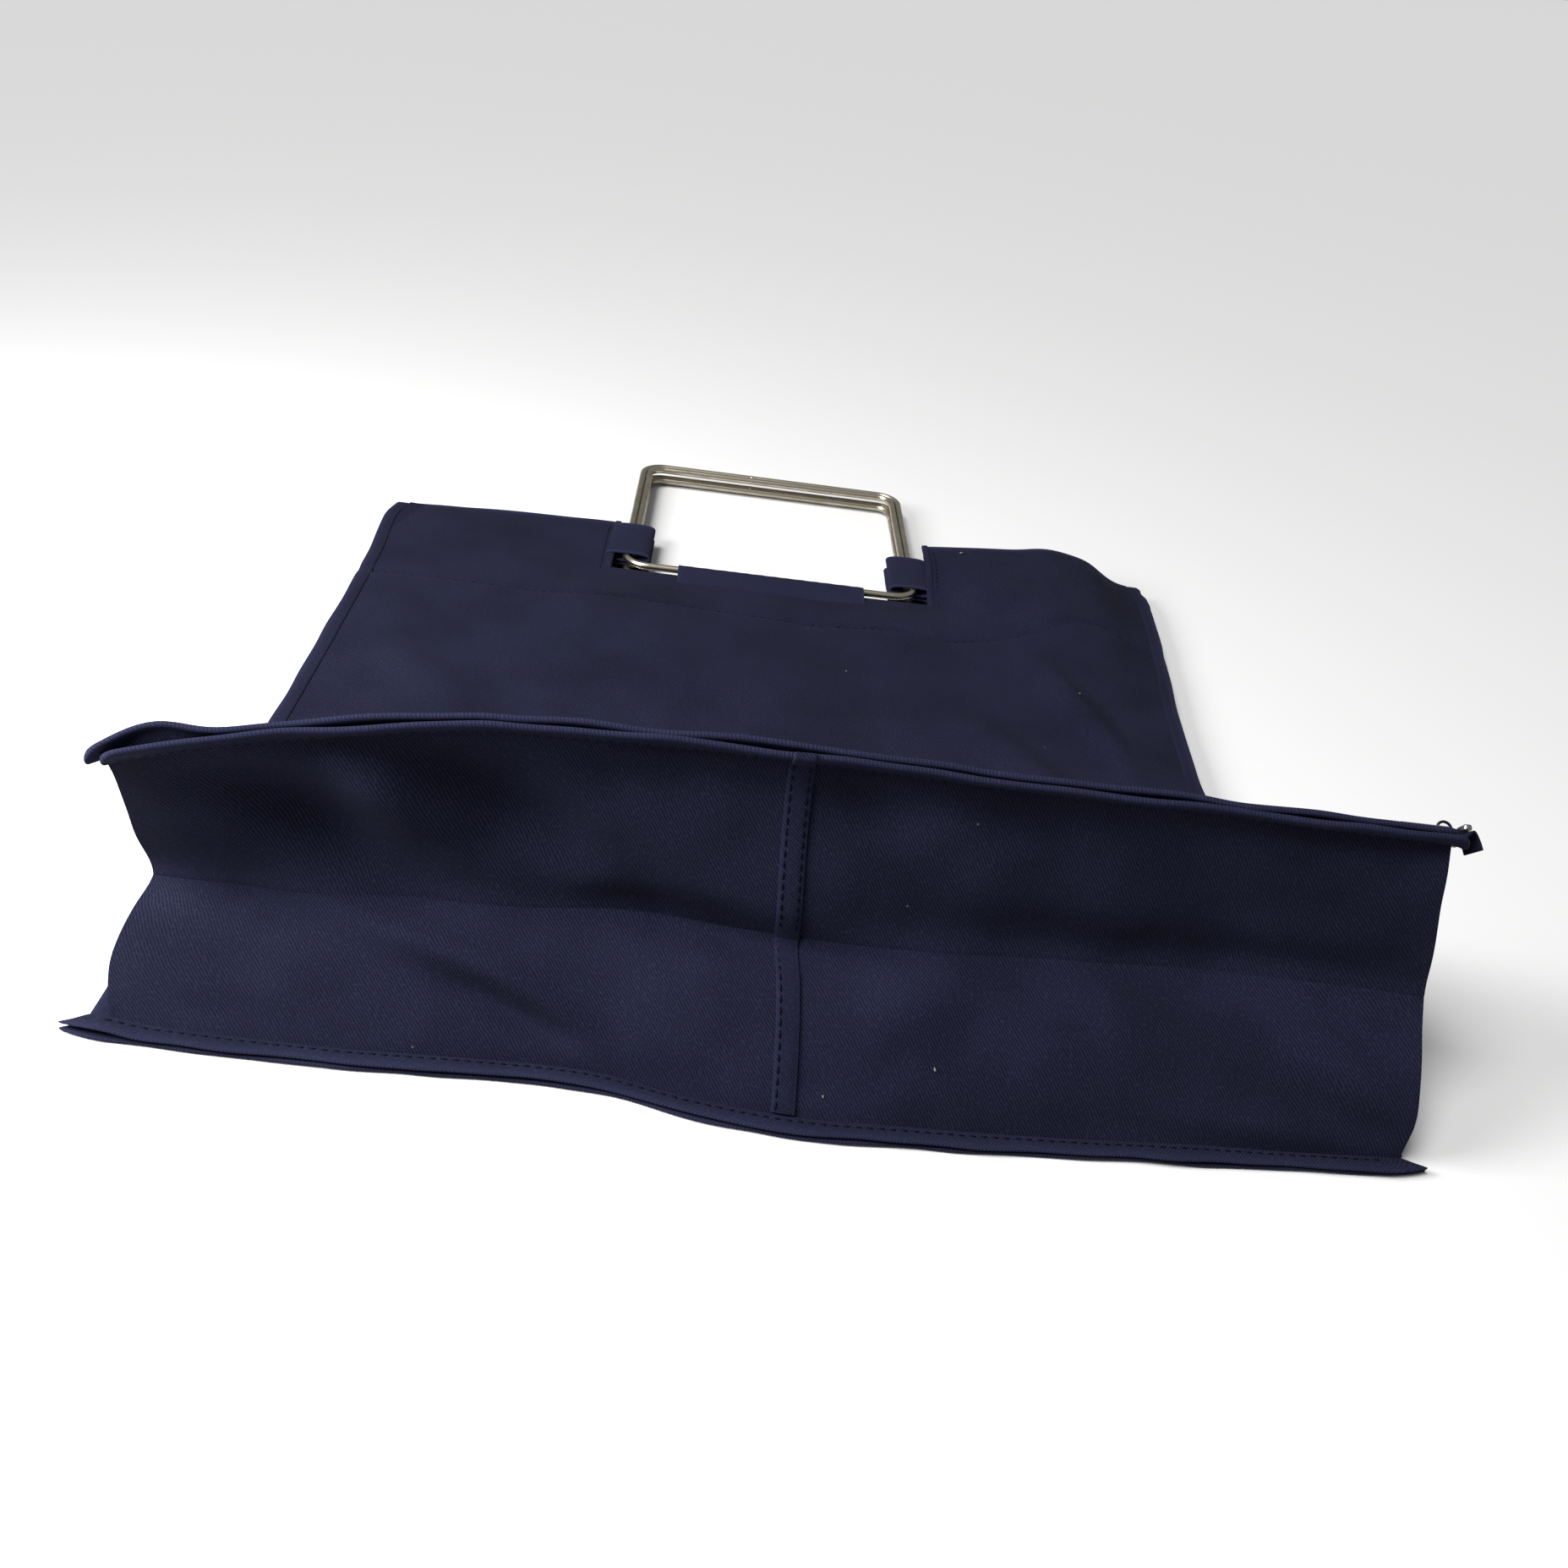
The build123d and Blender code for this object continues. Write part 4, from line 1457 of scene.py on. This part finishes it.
# ---------------------------------------------------------------------------------------------
# Notch hem: panel and facing are sewn together round the notch and turned, which leaves a thick
# rolled edge up each side of it and a row of stitches just outside that edge.
hem_thickness = 0.0022
hem_stitch_side = notch_side + 0.0044
for sign, side in ((1, "right"), (-1, "left")):

    def hem_place(a, b, sign=sign):
        """a out from the notch's side, b along it."""
        point = front_place(sign * (notch_side + a), b - fold.y)
        wobble = ripple(b, 0.0, 0.006, 0.0004, 4.9)
        end = 0.0012 * eased(b, mouth - 0.004, mouth)
        return point + Vector((wobble, end, 0.0003 - facing_gap / 2))

    hem = cloth_sheet(
        f"notch_hem_{side}_roll",
        stations((-0.0012, 4), (0.0022, 0)),
        stations((notch_edge - 0.0016, 26), (mouth + 0.0004, 0)),
        hem_place,
        hem_thickness,
        seam_drill,
        wear_and_sheen=lambda a, b: 0.12 + 0.25 * eased(b, mouth - 0.003, mouth),
        rolled=True,
    )
    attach(hem, "bag")
    dashes = stitch_row(
        f"notch_hem_{side}_stitches",
        [
            front_place(sign * hem_stitch_side, b - fold.y, out=cloth / 2)
            for b in spaced(notch_edge - 0.003, mouth - 0.003, 24)
        ],
        **stitch,
    )
    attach(dashes, "bag")

# ---------------------------------------------------------------------------------------------
# Lint: a few pale flecks of fluff caught on the cloth.
fluff, fluff_shader, _ = mottled(
    "fluff", (0.06, 0.05, 0.045), (0.16, 0.135, 0.115), grain=2500
)
fluff_shader.inputs["Roughness"].default_value = 1.0
# Where each fleck lies, its radius and its turn in degrees.
flecks = {
    "bag": [
        (front_place(0.101, 0.1875 - fold.y, out=cloth), 0.0009, 20),
        (front_place(0.150, 0.055 - fold.y, out=cloth), 0.0005, 70),
        (front_place(0.035, 0.062 - fold.y, out=cloth), 0.0004, -40),
    ],
    "lower_gusset": [
        (gusset_place(0.046, -0.66, out=cloth), 0.0006, 100),
        (gusset_place(0.012, -0.86, out=cloth), 0.0005, 80),
    ],
}
for body, places in flecks.items():
    for number, (place, size, turn) in enumerate(places, 1):
        bpy.ops.object.select_all(action="DESELECT")
        bpy.ops.mesh.primitive_ico_sphere_add(subdivisions=2, radius=size)
        fleck = bpy.context.object
        fleck.name = f"fluff_{body}_{number}"
        for v in fleck.data.vertices:
            v.co *= 1 + 0.5 * noise.noise(v.co * 1800 + Vector((number, 0, 0)))
        turned = Matrix.Rotation(math.radians(turn), 4, "Z") @ Matrix.Diagonal((1.3, 0.6, 0.5, 1))
        fleck.data.transform(Matrix.Translation(place) @ turned)
        bpy.ops.object.shade_smooth()
        fleck.data.materials.append(fluff)
        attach(fleck, body)
        if body == "lower_gusset":
            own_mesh(fleck)

# ---------------------------------------------------------------------------------------------
# Handles: nickel-plated wire, a closed rectangle with a second wire nested inside it on three
# sides. Each outer wire is butt-welded in the middle of its upper bar, where a bead stands up.
nickel = worn_metal(
    "dulled nickel",
    bright=(0.46, 0.42, 0.34),
    dull=(0.33, 0.29, 0.22),
    smooth=0.24,
    rough=0.36,
    scratch=500,
)
bead_shift = -0.012
bead_proud = 1.10
for side in ("front", "back"):
    for wire in ("outer", "inner"):
        node = frame["nodes"][f"{side}_handle_{wire}_wire"]
        node.data.materials.clear()
        node.data.materials.append(nickel)
    low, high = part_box(f"{side}_handle_outer_wire")
    wire_radius = (high.z - low.z) / 2
    bpy.ops.object.select_all(action="DESELECT")
    bpy.ops.mesh.primitive_uv_sphere_add(segments=24, ring_count=12, radius=1)
    bead = bpy.context.object
    bead.name = f"{side}_handle_weld_bead"
    for v in bead.data.vertices:
        v.co *= 1 + 0.10 * noise.noise(v.co * 2.5)
    bead.data.transform(
        Matrix.Translation((bead_shift, high.y - wire_radius, low.z + wire_radius))
        @ Matrix.Diagonal((0.0013, wire_radius * bead_proud, wire_radius * bead_proud, 1))
    )
    bpy.ops.object.shade_smooth()
    bead.data.materials.append(nickel)
    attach(bead, f"{side}_handle")

# ---------------------------------------------------------------------------------------------
# Handle casings: a sleeve of drill wrapped round each lower bar and sewn down inside its panel.
# The cloth gathers in small rings round the wire.
for side, inward in (("front", -1), ("back", 1)):
    low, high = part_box(f"{side}_handle_casing")
    axis_z = joints[f"{side}_handle_swing"]["pos_m"][2]
    sleeve_radius = high.y - bar.y - cloth / 2

    tail_length = bar.y - low.y

    def casing_place(
        a, b, axis_z=axis_z, inward=inward, sleeve_radius=sleeve_radius, tail_length=tail_length
    ):
        """b runs from the sewn tail up to the bar, round it, and back to the tail."""
        ring = 1 + 0.035 * math.sin(a * 900 + 3 * noise.noise(Vector((a * 60, 0, 5))))
        if b < 0:
            near_bar = eased(b, -tail_length, 0)
            tail_z = 0.0017 if inward > 0 else axis_z - 0.0010
            sleeve_z = axis_z - inward * sleeve_radius
            return Vector((a, bar.y + b, tail_z + (sleeve_z - tail_z) * near_bar))
        turn = b / sleeve_radius
        start = -math.pi / 2 if inward > 0 else math.pi / 2
        angle = start + (turn if inward > 0 else -turn)
        return Vector(
            (
                a,
                bar.y + sleeve_radius * ring * math.cos(angle),
                axis_z + sleeve_radius * ring * math.sin(angle),
            )
        )

    sleeve = cloth_sheet(
        f"{side}_handle_casing_cloth",
        stations((low.x, 60), (high.x, 0)),
        stations((-tail_length, 6), (0, 16), (sleeve_radius * 1.9 * math.pi, 0)),
        casing_place,
        cloth * 0.8,
        seam_drill,
        wear_and_sheen=lambda a, b: 0.2 + 0.4 * eased(abs(a), 0.0455, 0.0475),
    )
    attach(sleeve, "bag")
    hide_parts(f"{side}_handle_casing")

# ---------------------------------------------------------------------------------------------
# Post loops: a short tube of drill round each post, sewn into the side of the notch.
for side in ("front", "back"):
    for sign, hand in ((1, "right"), (-1, "left")):
        low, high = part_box(f"{side}_post_loop_{hand}")
        middle = (low + high) / 2
        half_loop = (high.x - low.x) / 2 - cloth / 2 + 0.0006
        half_height = (high.z - low.z) / 2 - cloth / 2

        def loop_place(
            a, b, middle=middle, half_loop=half_loop, half_height=half_height, outward=sign
        ):
            """a runs once round the flattened tube, b along the post."""
            turn = 2 * math.pi * a
            c, s = math.cos(turn), math.sin(turn)
            x = half_loop * math.copysign(abs(c) ** 0.7, c)
            z = half_height * math.copysign(abs(s) ** 0.75, s)
            x += ripple(b, 0.0, 0.012, 0.0006, 2.2) + outward * 0.0028
            return middle + Vector((x, b - middle.y, z * (1 + 0.08 * math.sin(b * 400))))

        def loop_wear(a, b, low=low, high=high):
            """Rubbed pale at both open ends."""
            return 0.2 + 0.6 * (
                eased(b, high.y - 0.003, high.y) + eased(-b, -low.y - 0.003, -low.y)
            )

        loop_cloth = cloth_sheet(
            f"{side}_post_loop_{hand}_cloth",
            stations((0, 32), (1, 0)),
            stations((low.y, 14), (high.y, 0)),
            loop_place,
            cloth * 0.9,
            seam_drill,
            wear_and_sheen=loop_wear,
        )
        bpy.ops.object.mode_set(mode="EDIT")
        bpy.ops.mesh.select_all(action="SELECT")
        bpy.ops.mesh.remove_doubles(threshold=0.0001)
        bpy.ops.mesh.normals_make_consistent(inside=False)
        bpy.ops.object.mode_set(mode="OBJECT")
        for loop in loop_cloth.data.loops:
            loop_cloth.data.uv_layers["UVMap"].data[loop.index].uv.x *= 4 * half_loop
        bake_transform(loop_cloth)
        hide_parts(f"{side}_post_loop_{hand}")
